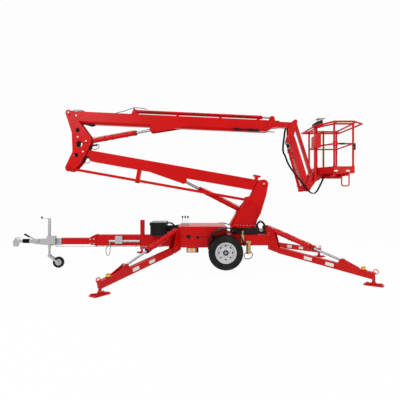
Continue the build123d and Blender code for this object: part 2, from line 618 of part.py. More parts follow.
# Upper boom, outer section
with BuildPart() as upper_boom:
    half = UPPER_WIDTH / 2
    extrude(boom_section(UPPER_START, UPPER_ABOVE, UPPER_BELOW, half, UPPER_CHAMFER), amount=UPPER_END - UPPER_START)
    extrude(boom_section(UPPER_START + 60, UPPER_ABOVE - UPPER_WALL, UPPER_BELOW - UPPER_WALL, half - UPPER_WALL,
                         UPPER_CHAMFER - 2), amount=UPPER_END - UPPER_START, mode=Mode.SUBTRACT)
    for sign in (-1, 1):
        hull_plate(NEAR, [
            (*UPPER_PIVOT, 50), (*on_upper(UPPER_START + 60, UPPER_ABOVE - 34), 34),
            (*on_upper(UPPER_START + 60, -120), 34),
        ], sign * (half - 10), 20)
    cross_round(NEAR, UPPER_PIVOT, 48, PLATE_GAP - SIDE_CLEARANCE)
    cross_round(NEAR, UPPER_PIVOT, PIN_RADIUS + PIN_CLEARANCE, PLATE_GAP, Mode.SUBTRACT)
    rod_along, rod_out = UPPER_ROD_PIN
    bracket = [
        on_upper(rod_along - 62, -83), on_upper(rod_along + 173, -72), on_upper(rod_along + 412, -126),
        on_upper(rod_along + 574, -75), on_upper(rod_along + 763, -102), on_upper(rod_along + 780, -160),
        on_upper(rod_along + 574, -206), on_upper(rod_along + 40, -316), on_upper(rod_along - 10, -326),
        on_upper(rod_along - 50, -312), on_upper(rod_along - 62, -270),
    ]
    slab_pair(NEAR, bracket, half, 6)
    for sign in (-1, 1):
        cross_round(NEAR, UPPER_ROD_POINT, 40, 5, lateral=sign * (half + 11))
    station = TELESCOPE_START - 110
    bracket_top = UPPER_ABOVE + TELESCOPE_RISE + 36
    slab_pair(NEAR, [
        on_upper(station, UPPER_ABOVE - 3), on_upper(station + 130, UPPER_ABOVE - 3),
        on_upper(station + 120, bracket_top), on_upper(station + 50, bracket_top),
    ], TELESCOPE_RADIUS + SEAT_GAP, 10)
    slab(NEAR, [
        on_upper(station + 38, bracket_top - 60), on_upper(station + 72, bracket_top - 60),
        on_upper(station + 66, bracket_top + 44), on_upper(station + 46, bracket_top + 44),
    ], 0, 2 * (TELESCOPE_RADIUS + 4))
    slab_pair(NEAR, [
        on_upper(UPPER_END - 50, UPPER_ABOVE - 1), on_upper(UPPER_END, UPPER_ABOVE - 1),
        on_upper(UPPER_END, -UPPER_BELOW + UPPER_CHAMFER), on_upper(UPPER_END - 50, -UPPER_BELOW + UPPER_CHAMFER),
    ], half - 1, 6)
upper_boom.part.label = "upper_boom"
export_step(upper_boom.part, "parts/upper_boom.step")

# Telescope cylinder barrel, along the top of the outer section
TELESCOPE_OUT = UPPER_ABOVE + TELESCOPE_RISE
BRACKET_ALONG = COLLAR_END - 146.0
tele_plane, tele_length = ram_plane(NEAR, on_upper(TELESCOPE_START - 30, TELESCOPE_OUT), on_upper(BRACKET_ALONG, TELESCOPE_OUT))
with BuildPart() as telescope_barrel:
    spun(tele_plane, [
        (0, 0), (0, TELESCOPE_RADIUS), (TELESCOPE_END - TELESCOPE_START, TELESCOPE_RADIUS),
        (TELESCOPE_END - TELESCOPE_START, TELESCOPE_ROD + PIN_CLEARANCE),
        (TELESCOPE_END - TELESCOPE_START - 40, TELESCOPE_ROD + PIN_CLEARANCE),
        (TELESCOPE_END - TELESCOPE_START - 40, TELESCOPE_BORE), (60, TELESCOPE_BORE), (60, 0),
    ])
    for station in (900.0, 1800.0, 2600.0):
        slab(tele_plane, [
            (station - 30, -TELESCOPE_RISE + SEAT_GAP), (station + 30, -TELESCOPE_RISE + SEAT_GAP),
            (station + 30, -TELESCOPE_RADIUS + 6), (station - 30, -TELESCOPE_RADIUS + 6),
        ], 0, 56)
telescope_barrel.part.label = "telescope_barrel"
export_step(telescope_barrel.part, "parts/telescope_barrel.step")

# Inner boom: sliding section, head collar, tip and the telescope rod's bracket
with BuildPart() as inner_boom:
    half = UPPER_WIDTH / 2 - UPPER_WALL - SECTION_GAP
    above = UPPER_ABOVE - UPPER_WALL - SECTION_GAP
    below = UPPER_BELOW - UPPER_WALL - SECTION_GAP
    extrude(boom_section(SECTION_START, above, below, half, UPPER_CHAMFER - 2), amount=UPPER_END - SECTION_START + 10)
    extrude(boom_section(SECTION_START - 1, above - SECTION_WALL, below - SECTION_WALL, half - SECTION_WALL,
                         UPPER_CHAMFER - 4), amount=UPPER_END - SECTION_START - 40, mode=Mode.SUBTRACT)
    extrude(boom_section(UPPER_END + RUNNING_GAP, UPPER_ABOVE, UPPER_BELOW - 20, UPPER_WIDTH / 2, UPPER_CHAMFER),
            amount=COLLAR_END - UPPER_END - RUNNING_GAP)
    slab(NEAR, [
        on_upper(COLLAR_END + 1, -98), on_upper(COLLAR_END - 132, -112), on_upper(COLLAR_END - 240, -194),
        on_upper(COLLAR_END - 240, -240), on_upper(COLLAR_END + 1, -240),
    ], 0, UPPER_WIDTH + 10, Mode.SUBTRACT)
    slab(NEAR, [
        on_upper(COLLAR_END - 10, TIP_TOP), on_upper(TIP_PIVOT[0], TIP_TOP), on_upper(TIP_PIVOT[0] + 50, -30),
        on_upper(TIP_PIVOT[0] + 40, TIP_BOTTOM), on_upper(COLLAR_END - 10, TIP_BOTTOM),
    ], 0, TIP_WIDTH)
    cross_round(NEAR, TIP_POINT, 50, ELBOW_GAP - SIDE_CLEARANCE)
    cross_round(NEAR, TIP_POINT, PIN_RADIUS + PIN_CLEARANCE, ELBOW_GAP, Mode.SUBTRACT)
    slab_pair(NEAR, [
        on_upper(BRACKET_ALONG - 75, UPPER_ABOVE - 3), on_upper(BRACKET_ALONG + 75, UPPER_ABOVE - 3),
        on_upper(BRACKET_ALONG + 40, TELESCOPE_OUT + 32), on_upper(BRACKET_ALONG - 30, TELESCOPE_OUT + 32),
    ], 26, 10)
    cross_round(NEAR, on_upper(BRACKET_ALONG, TELESCOPE_OUT), 16, 46)
inner_boom.part.label = "inner_boom"
export_step(inner_boom.part, "parts/inner_boom.step")
with BuildPart() as telescope_rod:
    spun(tele_plane, [(80, 0), (80, TELESCOPE_ROD), (tele_length - 20, TELESCOPE_ROD), (tele_length - 20, 0)])
    cross_round(tele_plane, (tele_length, 0), 30, 25)
    cross_round(tele_plane, (tele_length, 0), 16 + PIN_CLEARANCE, 30, Mode.SUBTRACT)
telescope_rod.part.label = "telescope_rod"
export_step(telescope_rod.part, "parts/telescope_rod.step")

# Elbow: two plates that keep the jib level with the ground
with BuildPart() as elbow:
    hull_pair(NEAR, [(*TIP_POINT, 52), (*JIB_LINK_TOP, 42), (*JIB_PIVOT, 56)], ELBOW_GAP, ELBOW_WALL)
    hull_pair(NEAR, [(*JIB_PIVOT, 56), (*JIB_CYLINDER_TOP, 28)], ELBOW_GAP, ELBOW_WALL)
    for point in (TIP_POINT, JIB_LINK_TOP, JIB_PIVOT):
        cross_round(NEAR, point, PIN_RADIUS + PIN_CLEARANCE, ELBOW_GAP + ELBOW_WALL + 1, Mode.SUBTRACT)
        cross_round(NEAR, point, PIN_RADIUS, ELBOW_GAP + ELBOW_WALL + 8)
    for sign in (-1, 1):
        cross_round(NEAR, JIB_CYLINDER_TOP, 24, 5, lateral=sign * (ELBOW_GAP + ELBOW_WALL + 4))
elbow.part.label = "elbow"
export_step(elbow.part, "parts/elbow.step")

# Jib: square tube with bosses at both ends and the cylinder's foot lug
jib_run = (JIB_FOOT[0] - JIB_PIVOT[0], JIB_FOOT[1] - JIB_PIVOT[1])
jib_reach = math.hypot(*jib_run)
jib_way = (jib_run[0] / jib_reach, jib_run[1] / jib_reach)
shoulder = JIB_DEPTH / 2 - 10
JIB_SHOULDER_LEFT = (
    JIB_PIVOT[0] + jib_way[0] * 80 + jib_way[1] * shoulder, JIB_PIVOT[1] + jib_way[1] * 80 - jib_way[0] * shoulder,
)
JIB_SHOULDER_RIGHT = (
    JIB_PIVOT[0] + jib_way[0] * 80 - jib_way[1] * shoulder, JIB_PIVOT[1] + jib_way[1] * 80 + jib_way[0] * shoulder,
)
with BuildPart() as jib:
    slab(NEAR, strip(JIB_PIVOT, JIB_FOOT, JIB_DEPTH / 2, JIB_DEPTH / 2, -70, 20), 0, JIB_WIDTH)
    hull_plate(NEAR, [(*JIB_PIVOT, 50), (*JIB_SHOULDER_LEFT, 10), (*JIB_SHOULDER_RIGHT, 10)], 0, JIB_WIDTH)
    slab(NEAR, strip(JIB_PIVOT, JIB_FOOT, JIB_DEPTH / 2 - 6, JIB_DEPTH / 2 - 6, -90, -90), 0, JIB_WIDTH - 12, Mode.SUBTRACT)
    cross_round(NEAR, JIB_FOOT, JIB_DEPTH / 2 - 4, JIB_WIDTH / 2)
    for point in (JIB_PIVOT, JIB_FOOT):
        cross_round(NEAR, point, 46, ELBOW_GAP - SIDE_CLEARANCE)
    hull_pair(NEAR, [(*JIB_CYLINDER_FOOT, 34), (JIB_FOOT[0] - 20, JIB_FOOT[1] - 10, 40), (JIB_FOOT[0] - 50, JIB_FOOT[1] + 90, 30)], 34, 12)
    cross_round(NEAR, JIB_CYLINDER_FOOT, 18, 54)
    for point in (JIB_PIVOT, JIB_FOOT):
        cross_round(NEAR, point, PIN_RADIUS + PIN_CLEARANCE, ELBOW_GAP, Mode.SUBTRACT)
jib.part.label = "jib"
export_step(jib.part, "parts/jib.step")

# Jib levelling link
with BuildPart() as jib_link:
    slab(NEAR, strip(JIB_LINK_TOP, JIB_LINK_FOOT, JIB_LINK_SIZE / 2, JIB_LINK_SIZE / 2), 0, JIB_LINK_SIZE)
    for point in (JIB_LINK_TOP, JIB_LINK_FOOT):
        cross_round(NEAR, point, 38, ELBOW_GAP - SIDE_CLEARANCE)
        cross_round(NEAR, point, PIN_RADIUS + PIN_CLEARANCE, ELBOW_GAP, Mode.SUBTRACT)
jib_link.part.label = "jib_link"
export_step(jib_link.part, "parts/jib_link.step")

# Jib cylinder
JIB_BARREL = 900.0
jib_ram, jib_ram_length = ram_plane(NEAR, JIB_CYLINDER_FOOT, JIB_CYLINDER_TOP)
with BuildPart() as jib_barrel:
    ram_barrel(jib_ram, JIB_BARREL, 31, 24, 17, 32, 33, 18)
jib_barrel.part.label = "jib_barrel"
export_step(jib_barrel.part, "parts/jib_barrel.step")
with BuildPart() as jib_rod:
    ram_rod(jib_ram, jib_ram_length, 520, 17, 28, 28, 16, 60)
jib_rod.part.label = "jib_rod"
export_step(jib_rod.part, "parts/jib_rod.step")

# Basket carrier: two plates from the jib's foot and a beam under the floor
with BuildPart() as basket_carrier:
    hull_pair(NEAR, [(*JIB_FOOT, 56), (2735, 1860, 40), (*JIB_LINK_FOOT, 44)], ELBOW_GAP, ELBOW_WALL)
    hull_pair(NEAR, [(2735, 1860, 40), (*JIB_LINK_FOOT, 44), (2830, 1898, 30)], ELBOW_GAP, ELBOW_WALL)
    for point in (JIB_FOOT, JIB_LINK_FOOT):
        cross_round(NEAR, point, PIN_RADIUS, ELBOW_GAP + ELBOW_WALL + 8)
    box((2790, -ELBOW_GAP - ELBOW_WALL, 1895), (3300, ELBOW_GAP + ELBOW_WALL, FLOOR_Z - 10))
    box((2990, -430, FLOOR_Z - 60), (3050, 430, FLOOR_Z - 10))
    box((3240, -430, FLOOR_Z - 60), (3300, 430, FLOOR_Z - 10))
    box((2790, -ELBOW_GAP, 1880), (2850, ELBOW_GAP, 1895))
basket_carrier.part.label = "basket_carrier"
export_step(basket_carrier.part, "parts/basket_carrier.step")


def plan_grown(points, growth):
    """The basket's plan, with every side moved out by the same amount."""
    with BuildSketch() as plan:
        with BuildLine():
            Polyline(*points, close=True)
        make_face()
        offset(amount=growth, kind=Kind.INTERSECTION)
    return plan.sketch


# Basket floor: a pan with a kick plate all round
with BuildPart() as basket_floor:
    pan = plan_grown(BASKET_PLAN, 24)
    extrude(Plane.XY.offset(FLOOR_Z - 10).location * pan, amount=KICK_HEIGHT)
    well = plan_grown(BASKET_PLAN, 20)
    extrude(Plane.XY.offset(FLOOR_Z - 4).location * well, amount=KICK_HEIGHT, mode=Mode.SUBTRACT)
    step_y = -463.0
    tube_path([
        (3155, step_y, FLOOR_Z - 10), (3155, step_y, 1731), (3302, step_y, 1731), (3302, step_y, FLOOR_Z - 10),
    ], 13, 40)
basket_floor.part.label = "basket_floor"
export_step(basket_floor.part, "parts/basket_floor.step")

# Basket frame: posts, rails, the outer guard ring and the mast on the boom side
POSTS = [(2790.0, -60.0), (3010.0, -455.0), (3385.0, -455.0), (3400.0, 455.0), (3110.0, 455.0), (2790.0, 455.0)]
with BuildPart() as basket_frame:
    for x, y in POSTS:
        upright_round(x, y, POST_RADIUS, FLOOR_Z - 4, TOP_RAIL_Z)
    top_loop = [(x, y, TOP_RAIL_Z) for x, y in BASKET_PLAN]
    ring_loop = [(x, y, TOP_RAIL_Z) for x, y in RING_PLAN]
    for loop, radius in ((top_loop, RAIL_RADIUS), (ring_loop, RAIL_RADIUS)):
        for first, last in zip(loop, loop[1:] + loop[:1]):
            round_bar(first, last, radius)
            with Locations(first):
                Sphere(radius)
    mid_loop = [(x, y, MID_RAIL_Z) for x, y in BASKET_PLAN]
    for first, last in zip(mid_loop[2:] + mid_loop[:1], mid_loop[3:] + mid_loop[:2]):
        round_bar(first, last, RAIL_RADIUS - 2)
    for first, last in (
        ((3010, -455), (2990, -680)), ((3385, -455), (3370, -625)), ((3400, 455), (3540, 600)),
        ((3110, 455), (3080, 680)), ((2790, 455), (2700, 640)), ((2800, -80), (2745, -270)),
    ):
        round_bar((*first, TOP_RAIL_Z), (*last, TOP_RAIL_Z), RAIL_RADIUS - 3)
    box((2716, -150, 1836), (2758, -100, TOP_RAIL_Z))
    box((2722, -104, 1850), (2752, -ELBOW_GAP - ELBOW_WALL, 1880))
    box((2750, -140, TOP_RAIL_Z - 26), (2800, -110, TOP_RAIL_Z - 4))
basket_frame.part.label = "basket_frame"
export_step(basket_frame.part, "parts/basket_frame.step")

# Gate bar across the way in
GATE_END = 3385.0 - POST_RADIUS
with BuildPart() as basket_gate:
    post_x, gate_y = POSTS[1]
    round_bar((post_x + 62, gate_y, MID_RAIL_Z), (GATE_END - 8, gate_y, MID_RAIL_Z), RAIL_RADIUS - 2)
    upright_round(post_x + 62, gate_y, 9, MID_RAIL_Z - 42, MID_RAIL_Z + 42)
    for low in (MID_RAIL_Z - 42, MID_RAIL_Z + 24):
        upright_round(post_x, gate_y, 31, low, low + 18)
        box((post_x, gate_y - 9, low), (post_x + 62, gate_y + 9, low + 18))
        upright_round(post_x, gate_y, POST_RADIUS + PIN_CLEARANCE, low - 1, low + 19, Mode.SUBTRACT)
basket_gate.part.label = "basket_gate"
export_step(basket_gate.part, "parts/basket_gate.step")
# Platform controls
with BuildPart() as control_box:
    depth = 248.0
    slab(NEAR, [
        (2650, 2500), (2650, 2728), (2684, 2764), (2770, 2764), (2770, 2500),
    ], 150 + SEAT_GAP + depth / 2, depth)
control_box.part.label = "control_box"
export_step(control_box.part, "parts/control_box.step")
with BuildPart() as platform_console:
    console_seat = TOP_RAIL_Z + RAIL_RADIUS + SEAT_GAP
    slab(NEAR, [
        (2745, console_seat), (2745, TOP_RAIL_Z + 90), (2880, TOP_RAIL_Z + 150), (2905, TOP_RAIL_Z + 130),
        (2905, console_seat),
    ], 0, 220)
platform_console.part.label = "platform_console"
export_step(platform_console.part, "parts/platform_console.step")

# Outrigger arms with their feet, cylinder barrels and rods
ARM_END = turned((ARM_LENGTH, 0), -ARM_SLOPE)
for corner in OUTRIGGERS:
    plane = outrigger_plane(corner)
    with BuildPart() as outrigger_arm:
        slab(plane, strip((0, 0), ARM_END, ARM_HEIGHT / 2, ARM_HEIGHT / 2, -20, 0), 0, ARM_WIDTH)
        cross_round(plane, (0, 0), 42, BRACKET_GAP - SIDE_CLEARANCE)
        slab(plane, strip((0, 0), ARM_END, ARM_HEIGHT / 2 - 5, ARM_HEIGHT / 2 - 5, -90, -60), 0, ARM_WIDTH - 10,
             Mode.SUBTRACT)
        cross_round(plane, (0, 0), PIN_RADIUS + PIN_CLEARANCE, BRACKET_GAP, Mode.SUBTRACT)
        lug = [
            (1140, -150), (1178, -72), (1200, -60), (1240, -60), (1262, -80), (1500, -195), (1500, -240), (1140, -180),
        ]
        slab_pair(plane, lug, ARM_WIDTH / 2 - 10, 10)
        for sign in (-1, 1):
            cross_round(plane, ARM_ROD_PIN, 26, 5, lateral=sign * (ARM_WIDTH / 2 + 4))
        foot_origin = plane.from_local_coords((FOOT_REACH, 0, 0))
        arm_bottom = HINGE_Z - FOOT_REACH * math.tan(math.radians(ARM_SLOPE))
        upright_round(foot_origin.X, foot_origin.Y, 26, 50, arm_bottom - 20)
        with Locations((foot_origin.X, foot_origin.Y, 52)):
            Sphere(34)
        upright_round(foot_origin.X, foot_origin.Y, 46, FOOT_PLATE - 2, 44)
        pad_plane = Plane(origin=(foot_origin.X, foot_origin.Y, 0), x_dir=plane.x_dir, z_dir=(0, 0, 1))
        with BuildSketch(pad_plane) as pad:
            RectangleRounded(FOOT_LENGTH, FOOT_WIDTH, 36)
        extrude(pad.sketch, amount=FOOT_PLATE)
        for turn in (-28, 28):
            rib_dir = plane.x_dir.rotate(Axis.Z, turn)
            rib_plane = Plane(origin=(foot_origin.X, foot_origin.Y, FOOT_PLATE - 1), x_dir=rib_dir, z_dir=(0, 0, 1))
            with BuildSketch(rib_plane) as rib:
                Rectangle(FOOT_LENGTH * 0.92, 9)
            extrude(rib.sketch, amount=24)
        with BuildSketch(plane) as eye_ring:
            with Locations((ARM_END[0] + 14, ARM_END[1] + 78)):
                Circle(44)
                Circle(31, mode=Mode.SUBTRACT)
        extrude(eye_ring.sketch, amount=6, both=True)
        beacon = plane.from_local_coords((BEACON_REACH, 0, 0))
        beacon_seat = HINGE_Z - BEACON_REACH * math.tan(math.radians(ARM_SLOPE)) + ARM_HEIGHT / 2 - 8
        upright_round(beacon.X, beacon.Y, 36, beacon_seat, beacon_seat + 60)
    outrigger_arm.part.label = f"outrigger_arm_{corner}"
    export_step(outrigger_arm.part, f"parts/outrigger_arm_{corner}.step")

    ram, ram_length = ram_plane(plane, ARM_TOP_PIN, ARM_ROD_PIN)
    with BuildPart() as outrigger_barrel:
        ram_barrel(ram, 860, 46, 36, 22, 42, BRACKET_GAP - SIDE_CLEARANCE, PIN_RADIUS)
    outrigger_barrel.part.label = f"outrigger_barrel_{corner}"
    export_step(outrigger_barrel.part, f"parts/outrigger_barrel_{corner}.step")
    with BuildPart() as outrigger_rod:
        ram_rod(ram, ram_length, 560, 22, 30, 24, 15, 30)
    outrigger_rod.part.label = f"outrigger_rod_{corner}"
    export_step(outrigger_rod.part, f"parts/outrigger_rod_{corner}.step")

# Wheels: tyre and pressed rim, one pair on each side
for side_name, sign in (("near", -1), ("far", 1)):
    centre = (WHEEL_X, sign * WHEEL_Y, WHEEL_Z)
    wheel_plane = Plane(origin=centre, x_dir=(0, sign, 0), z_dir=(1, 0, 0))
    half = TYRE_WIDTH / 2
    with BuildPart() as tyre:
        with BuildSketch(wheel_plane) as section:
            with BuildLine():
                Polyline(
                    (-half + 16, RIM_RADIUS - 14), (-half + 4, RIM_RADIUS + 30), (-half, RIM_RADIUS + 66),
                    (-half + 12, TYRE_RADIUS - 18), (-half + 30, TYRE_RADIUS - 3), (0, TYRE_RADIUS),
                    (half - 30, TYRE_RADIUS - 3), (half - 12, TYRE_RADIUS - 18), (half, RIM_RADIUS + 66),
                    (half - 4, RIM_RADIUS + 30), (half - 16, RIM_RADIUS - 14), close=True,
                )
            make_face()
        revolve(section.sketch, axis=Axis(centre, (0, 1, 0)))
    tyre.part.label = f"tyre_{side_name}"
    export_step(tyre.part, f"parts/tyre_{side_name}.step")
    with BuildPart() as rim:
        barrel = RIM_RADIUS - 14 - SEAT_GAP
        with BuildSketch(wheel_plane) as section:
            with BuildLine():
                Polyline(
                    (-half + 10, barrel), (half - 10, barrel), (half - 10, barrel - 2 * RIM_WALL),
                    (half - 40, barrel - 3 * RIM_WALL), (30, barrel - 30), (36, 96), (46, 74), (46, HUB_RADIUS),
                    (38, SPINDLE_RADIUS + PIN_CLEARANCE), (-34, SPINDLE_RADIUS + PIN_CLEARANCE), (-34, 70), (26, 74),
                    (18, barrel - 30), (-half + 10, barrel - RIM_WALL), close=True,
                )
            make_face()
        revolve(section.sketch, axis=Axis(centre, (0, 1, 0)))
        hole_plane = Plane(origin=centre, x_dir=(1, 0, 0), z_dir=(0, sign, 0))
        with BuildSketch(hole_plane) as holes:
            with PolarLocations(132, 8):
                SlotOverall(40, 24, rotation=90)
        extrude(holes.sketch, amount=60, both=True, mode=Mode.SUBTRACT)
    rim.part.label = f"rim_{side_name}"
    export_step(rim.part, f"parts/rim_{side_name}.step")

# Coupling: overrun housing, bellows, coupling head and brake lever
with BuildPart() as coupling:
    slab(NEAR, [
        (-3231, 605), (-3100, 622), (-2734, 640), (NOSE_TUBE_START, 640), (NOSE_TUBE_START, 500),
        (-2734, 492), (-3100, 520), (-3231, 550),
    ], 0, 96)
    round_bar((-3380, 0, 580), (-3225, 0, 578), 30)
    slab(NEAR, [
        (-3575, 592), (-3552, 612), (-3470, 612), (-3370, 602), (-3370, 556), (-3480, 545), (-3490, 470), (-3575, 470),
    ], 0, 74)
    upright_round(-3533, 0, 26, 468, 530, Mode.SUBTRACT)
    slab(NEAR, [(-3560, 600), (-3560, 645), (-3445, 660), (-3445, 640), (-3530, 628), (-3530, 600)], 0, 26)
    slab(NEAR, strip((-3060, 596), (-3325, 730), 13, 13), 62, 24)
    slab(NEAR, [(-3110, 560), (-3110, 618), (-3030, 618), (-3030, 560)], 61, 28)
coupling.part.label = "coupling"
export_step(coupling.part, "parts/coupling.step")

# Jockey wheel: clamp and outer tube, sliding inner tube, turning fork and wheel
with BuildPart() as jockey_clamp:
    box((JOCKEY_X - 45, JOCKEY_Y - 40, 530), (JOCKEY_X + 130, -48, 700))
    upright_round(JOCKEY_X, JOCKEY_Y, JOCKEY_OUTER, JOCKEY_OUTER_END, JOCKEY_TOP)
    upright_round(JOCKEY_X, JOCKEY_Y, JOCKEY_INNER + PIN_CLEARANCE, JOCKEY_OUTER_END - 1, JOCKEY_TOP - 20, Mode.SUBTRACT)
    round_bar((JOCKEY_X, JOCKEY_Y, JOCKEY_TOP - 4), (JOCKEY_X, JOCKEY_Y, JOCKEY_TOP + 8), 14)
    round_bar((JOCKEY_X + 10, JOCKEY_Y, JOCKEY_TOP + 2), (JOCKEY_X - 165, JOCKEY_Y, JOCKEY_TOP + 2), 7)
    round_bar((JOCKEY_X - 158, JOCKEY_Y, JOCKEY_TOP), (JOCKEY_X - 158, JOCKEY_Y, JOCKEY_TOP + 40), 14)
jockey_clamp.part.label = "jockey_clamp"
export_step(jockey_clamp.part, "parts/jockey_clamp.step")
with BuildPart() as jockey_tube:
    upright_round(JOCKEY_X, JOCKEY_Y, JOCKEY_INNER, JOCKEY_FORK_Z + SEAT_GAP, 700)
jockey_tube.part.label = "jockey_tube"
export_step(jockey_tube.part, "parts/jockey_tube.step")
WHEEL_CENTRE_X = JOCKEY_X + JOCKEY_TRAIL
with BuildPart() as jockey_fork:
    upright_round(JOCKEY_X, JOCKEY_Y, 30, JOCKEY_FORK_Z - 24, JOCKEY_FORK_Z)
    fork_half = JOCKEY_WHEEL_WIDTH / 2 + RUNNING_GAP
    for sign in (-1, 1):
        hull_plate(NEAR, [(JOCKEY_X, JOCKEY_FORK_Z - 14, 24), (WHEEL_CENTRE_X, JOCKEY_WHEEL_Z, 18)],
                   -JOCKEY_Y + sign * (fork_half + 3), 6)
    box((JOCKEY_X - 26, JOCKEY_Y - fork_half - 6, JOCKEY_FORK_Z - 10), (JOCKEY_X + 24, JOCKEY_Y + fork_half + 6, JOCKEY_FORK_Z))
    cross_round(NEAR, (WHEEL_CENTRE_X, JOCKEY_WHEEL_Z), 10, fork_half + 8, lateral=-JOCKEY_Y)
jockey_fork.part.label = "jockey_fork"
export_step(jockey_fork.part, "parts/jockey_fork.step")
with BuildPart() as jockey_wheel:
    hub = Plane(origin=(WHEEL_CENTRE_X, JOCKEY_Y, JOCKEY_WHEEL_Z), x_dir=(0, 1, 0), z_dir=(1, 0, 0))
    half = JOCKEY_WHEEL_WIDTH / 2
    with BuildSketch(hub) as section:
        with BuildLine():
            Polyline(
                (-half, 10 + PIN_CLEARANCE), (-half, 30), (-half + 12, 34), (-half + 12, 66), (-half, 74),
                (-half, JOCKEY_WHEEL_RADIUS - 14), (-half + 12, JOCKEY_WHEEL_RADIUS), (half - 12, JOCKEY_WHEEL_RADIUS),
                (half, JOCKEY_WHEEL_RADIUS - 14), (half, 74), (half - 12, 66), (half - 12, 34), (half, 30),
                (half, 10 + PIN_CLEARANCE), close=True,
            )
        make_face()
    revolve(section.sketch, axis=Axis(hub.origin, (0, 1, 0)))
jockey_wheel.part.label = "jockey_wheel"
export_step(jockey_wheel.part, "parts/jockey_wheel.step")

# Folded prop stand clamped to the drawbar's near side
PROP_Y = -DRAWBAR_WIDTH / 2 - 40.0
with BuildPart() as prop_stand:
    round_bar((-1544, PROP_Y, 591), (-905, PROP_Y, 591), 24)
    box((-1411, PROP_Y - 34, 540), (-1265, -DRAWBAR_WIDTH / 2, 695))
    round_bar((-1530, PROP_Y, 591), (-1530, PROP_Y, 500), 9)
prop_stand.part.label = "prop_stand"
export_step(prop_stand.part, "parts/prop_stand.step")

# Black battery case and the electric pump behind it
with BuildPart() as battery_case:
    box((-670, -250, DRAWBAR_TOP), (-350, 250, 968))
    fillet(battery_case.part.edges().filter_by(Axis.Z), 24)
    box((-680, -258, 930), (-340, 258, 985))
    fillet(battery_case.part.faces().sort_by(Axis.Z)[-1].edges(), 10)
battery_case.part.label = "battery_case"
export_step(battery_case.part, "parts/battery_case.step")
with BuildPart() as pump_unit:
    box((-330, -90, DRAWBAR_TOP), (-110, 90, 770))
    round_bar((-335, 0, 846), (-150, 0, 846), 62)
    box((-240, -50, 765), (-190, 50, 800))
    box((-150, -70, 765), (-92, 70, 915))
pump_unit.part.label = "pump_unit"
export_step(pump_unit.part, "parts/pump_unit.step")

# Valve bank with three hand levers on the deck
with BuildPart() as valve_levers:
    box((-55, -60, DECK_TOP), (125, 60, DECK_TOP + 34))
    for x in (-20.0, 37.0, 94.0):
        round_bar((x, 0, DECK_TOP + 30), (x, 0, DECK_TOP + 150), 5)
        round_bar((x, 0, DECK_TOP + 140), (x, 0, DECK_TOP + 176), 13)
valve_levers.part.label = "valve_levers"
export_step(valve_levers.part, "parts/valve_levers.step")

# Road lamps under the frame's sides
with BuildPart() as road_lamps:
    for sign in (-1, 1):
        outer = sign * FRAME_HALF_WIDTH
        inner = sign * (FRAME_HALF_WIDTH - 60)
        box((82, min(outer, inner), FRAME_BOTTOM - 98), (320, max(outer, inner), FRAME_BOTTOM))
road_lamps.part.label = "road_lamps"
export_step(road_lamps.part, "parts/road_lamps.step")

# Hydraulic filter and valve on the frame beside the slew ring
with BuildPart() as hydraulic_filter:
    side_y = -REAR_HALF_WIDTH
    round_bar((1309, side_y - 52, 384), (1309, side_y - 52, 600), 46)
    box((1262, side_y - 84, 596), (1356, side_y, 640))
    box((1166, side_y - 48, 604), (1222, side_y, 750))
    round_bar((1194, side_y - 24, 748), (1194, side_y - 24, 836), 22)
hydraulic_filter.part.label = "hydraulic_filter"
export_step(hydraulic_filter.part, "parts/hydraulic_filter.step")

# Brake rod under the drawbar with its guides
with BuildPart() as brake_rod:
    rod_z = DRAWBAR_BOTTOM - 22
    round_bar((-2700, 0, rod_z), (AXLE_X - AXLE_BEAM / 2 - 10, 0, rod_z), 6)
    for x in (-1700.0, -1000.0, -250.0):
        box((x - 6, -14, rod_z - 12), (x + 6, 14, DRAWBAR_BOTTOM))
brake_rod.part.label = "brake_rod"
export_step(brake_rod.part, "parts/brake_rod.step")
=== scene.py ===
"""Finishes and fine detail of a towable articulating boom lift, on top of its solid model."""

import math

import bmesh
import bpy
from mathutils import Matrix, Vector


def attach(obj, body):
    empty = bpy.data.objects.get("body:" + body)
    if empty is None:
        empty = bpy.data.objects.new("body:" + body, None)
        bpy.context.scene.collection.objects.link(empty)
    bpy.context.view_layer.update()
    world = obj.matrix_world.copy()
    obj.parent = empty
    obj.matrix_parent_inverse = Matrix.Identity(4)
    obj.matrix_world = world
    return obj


bl_info = {
    "name": "Towable Boom Lift Dressing",
    "version": (1, 0, 0),
    "blender": (4, 5, 0),
    "location": "View3D > Sidebar > Boom Lift",
    "description": "Paint, tyres, bolts, hoses and fittings for a towable articulating boom lift",
    "category": "Object",
}

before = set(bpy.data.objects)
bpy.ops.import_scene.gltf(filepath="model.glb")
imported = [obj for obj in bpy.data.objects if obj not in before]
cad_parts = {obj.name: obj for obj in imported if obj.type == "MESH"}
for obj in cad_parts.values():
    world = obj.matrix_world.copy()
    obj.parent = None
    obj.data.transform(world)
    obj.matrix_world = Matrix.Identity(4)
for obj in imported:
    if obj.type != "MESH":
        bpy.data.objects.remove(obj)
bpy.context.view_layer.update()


# Shader maths

class Wire:
    """A shader value that can be used in sums."""

    def __init__(self, sheet, socket):
        self.sheet = sheet
        self.socket = socket

    def _sum(self, operation, first, second):
        return self.sheet.node("ShaderNodeMath", {"operation": operation}, {0: first, 1: second})

    def __add__(self, other):
        return self._sum("ADD", self, other)

    __radd__ = __add__

    def __sub__(self, other):
        return self._sum("SUBTRACT", self, other)

    def __rsub__(self, other):
        return self._sum("SUBTRACT", other, self)

    def __mul__(self, other):
        return self._sum("MULTIPLY", self, other)

    __rmul__ = __mul__

    def clamped(self):
        return self.sheet.node("ShaderNodeClamp", {}, {"Value": self})


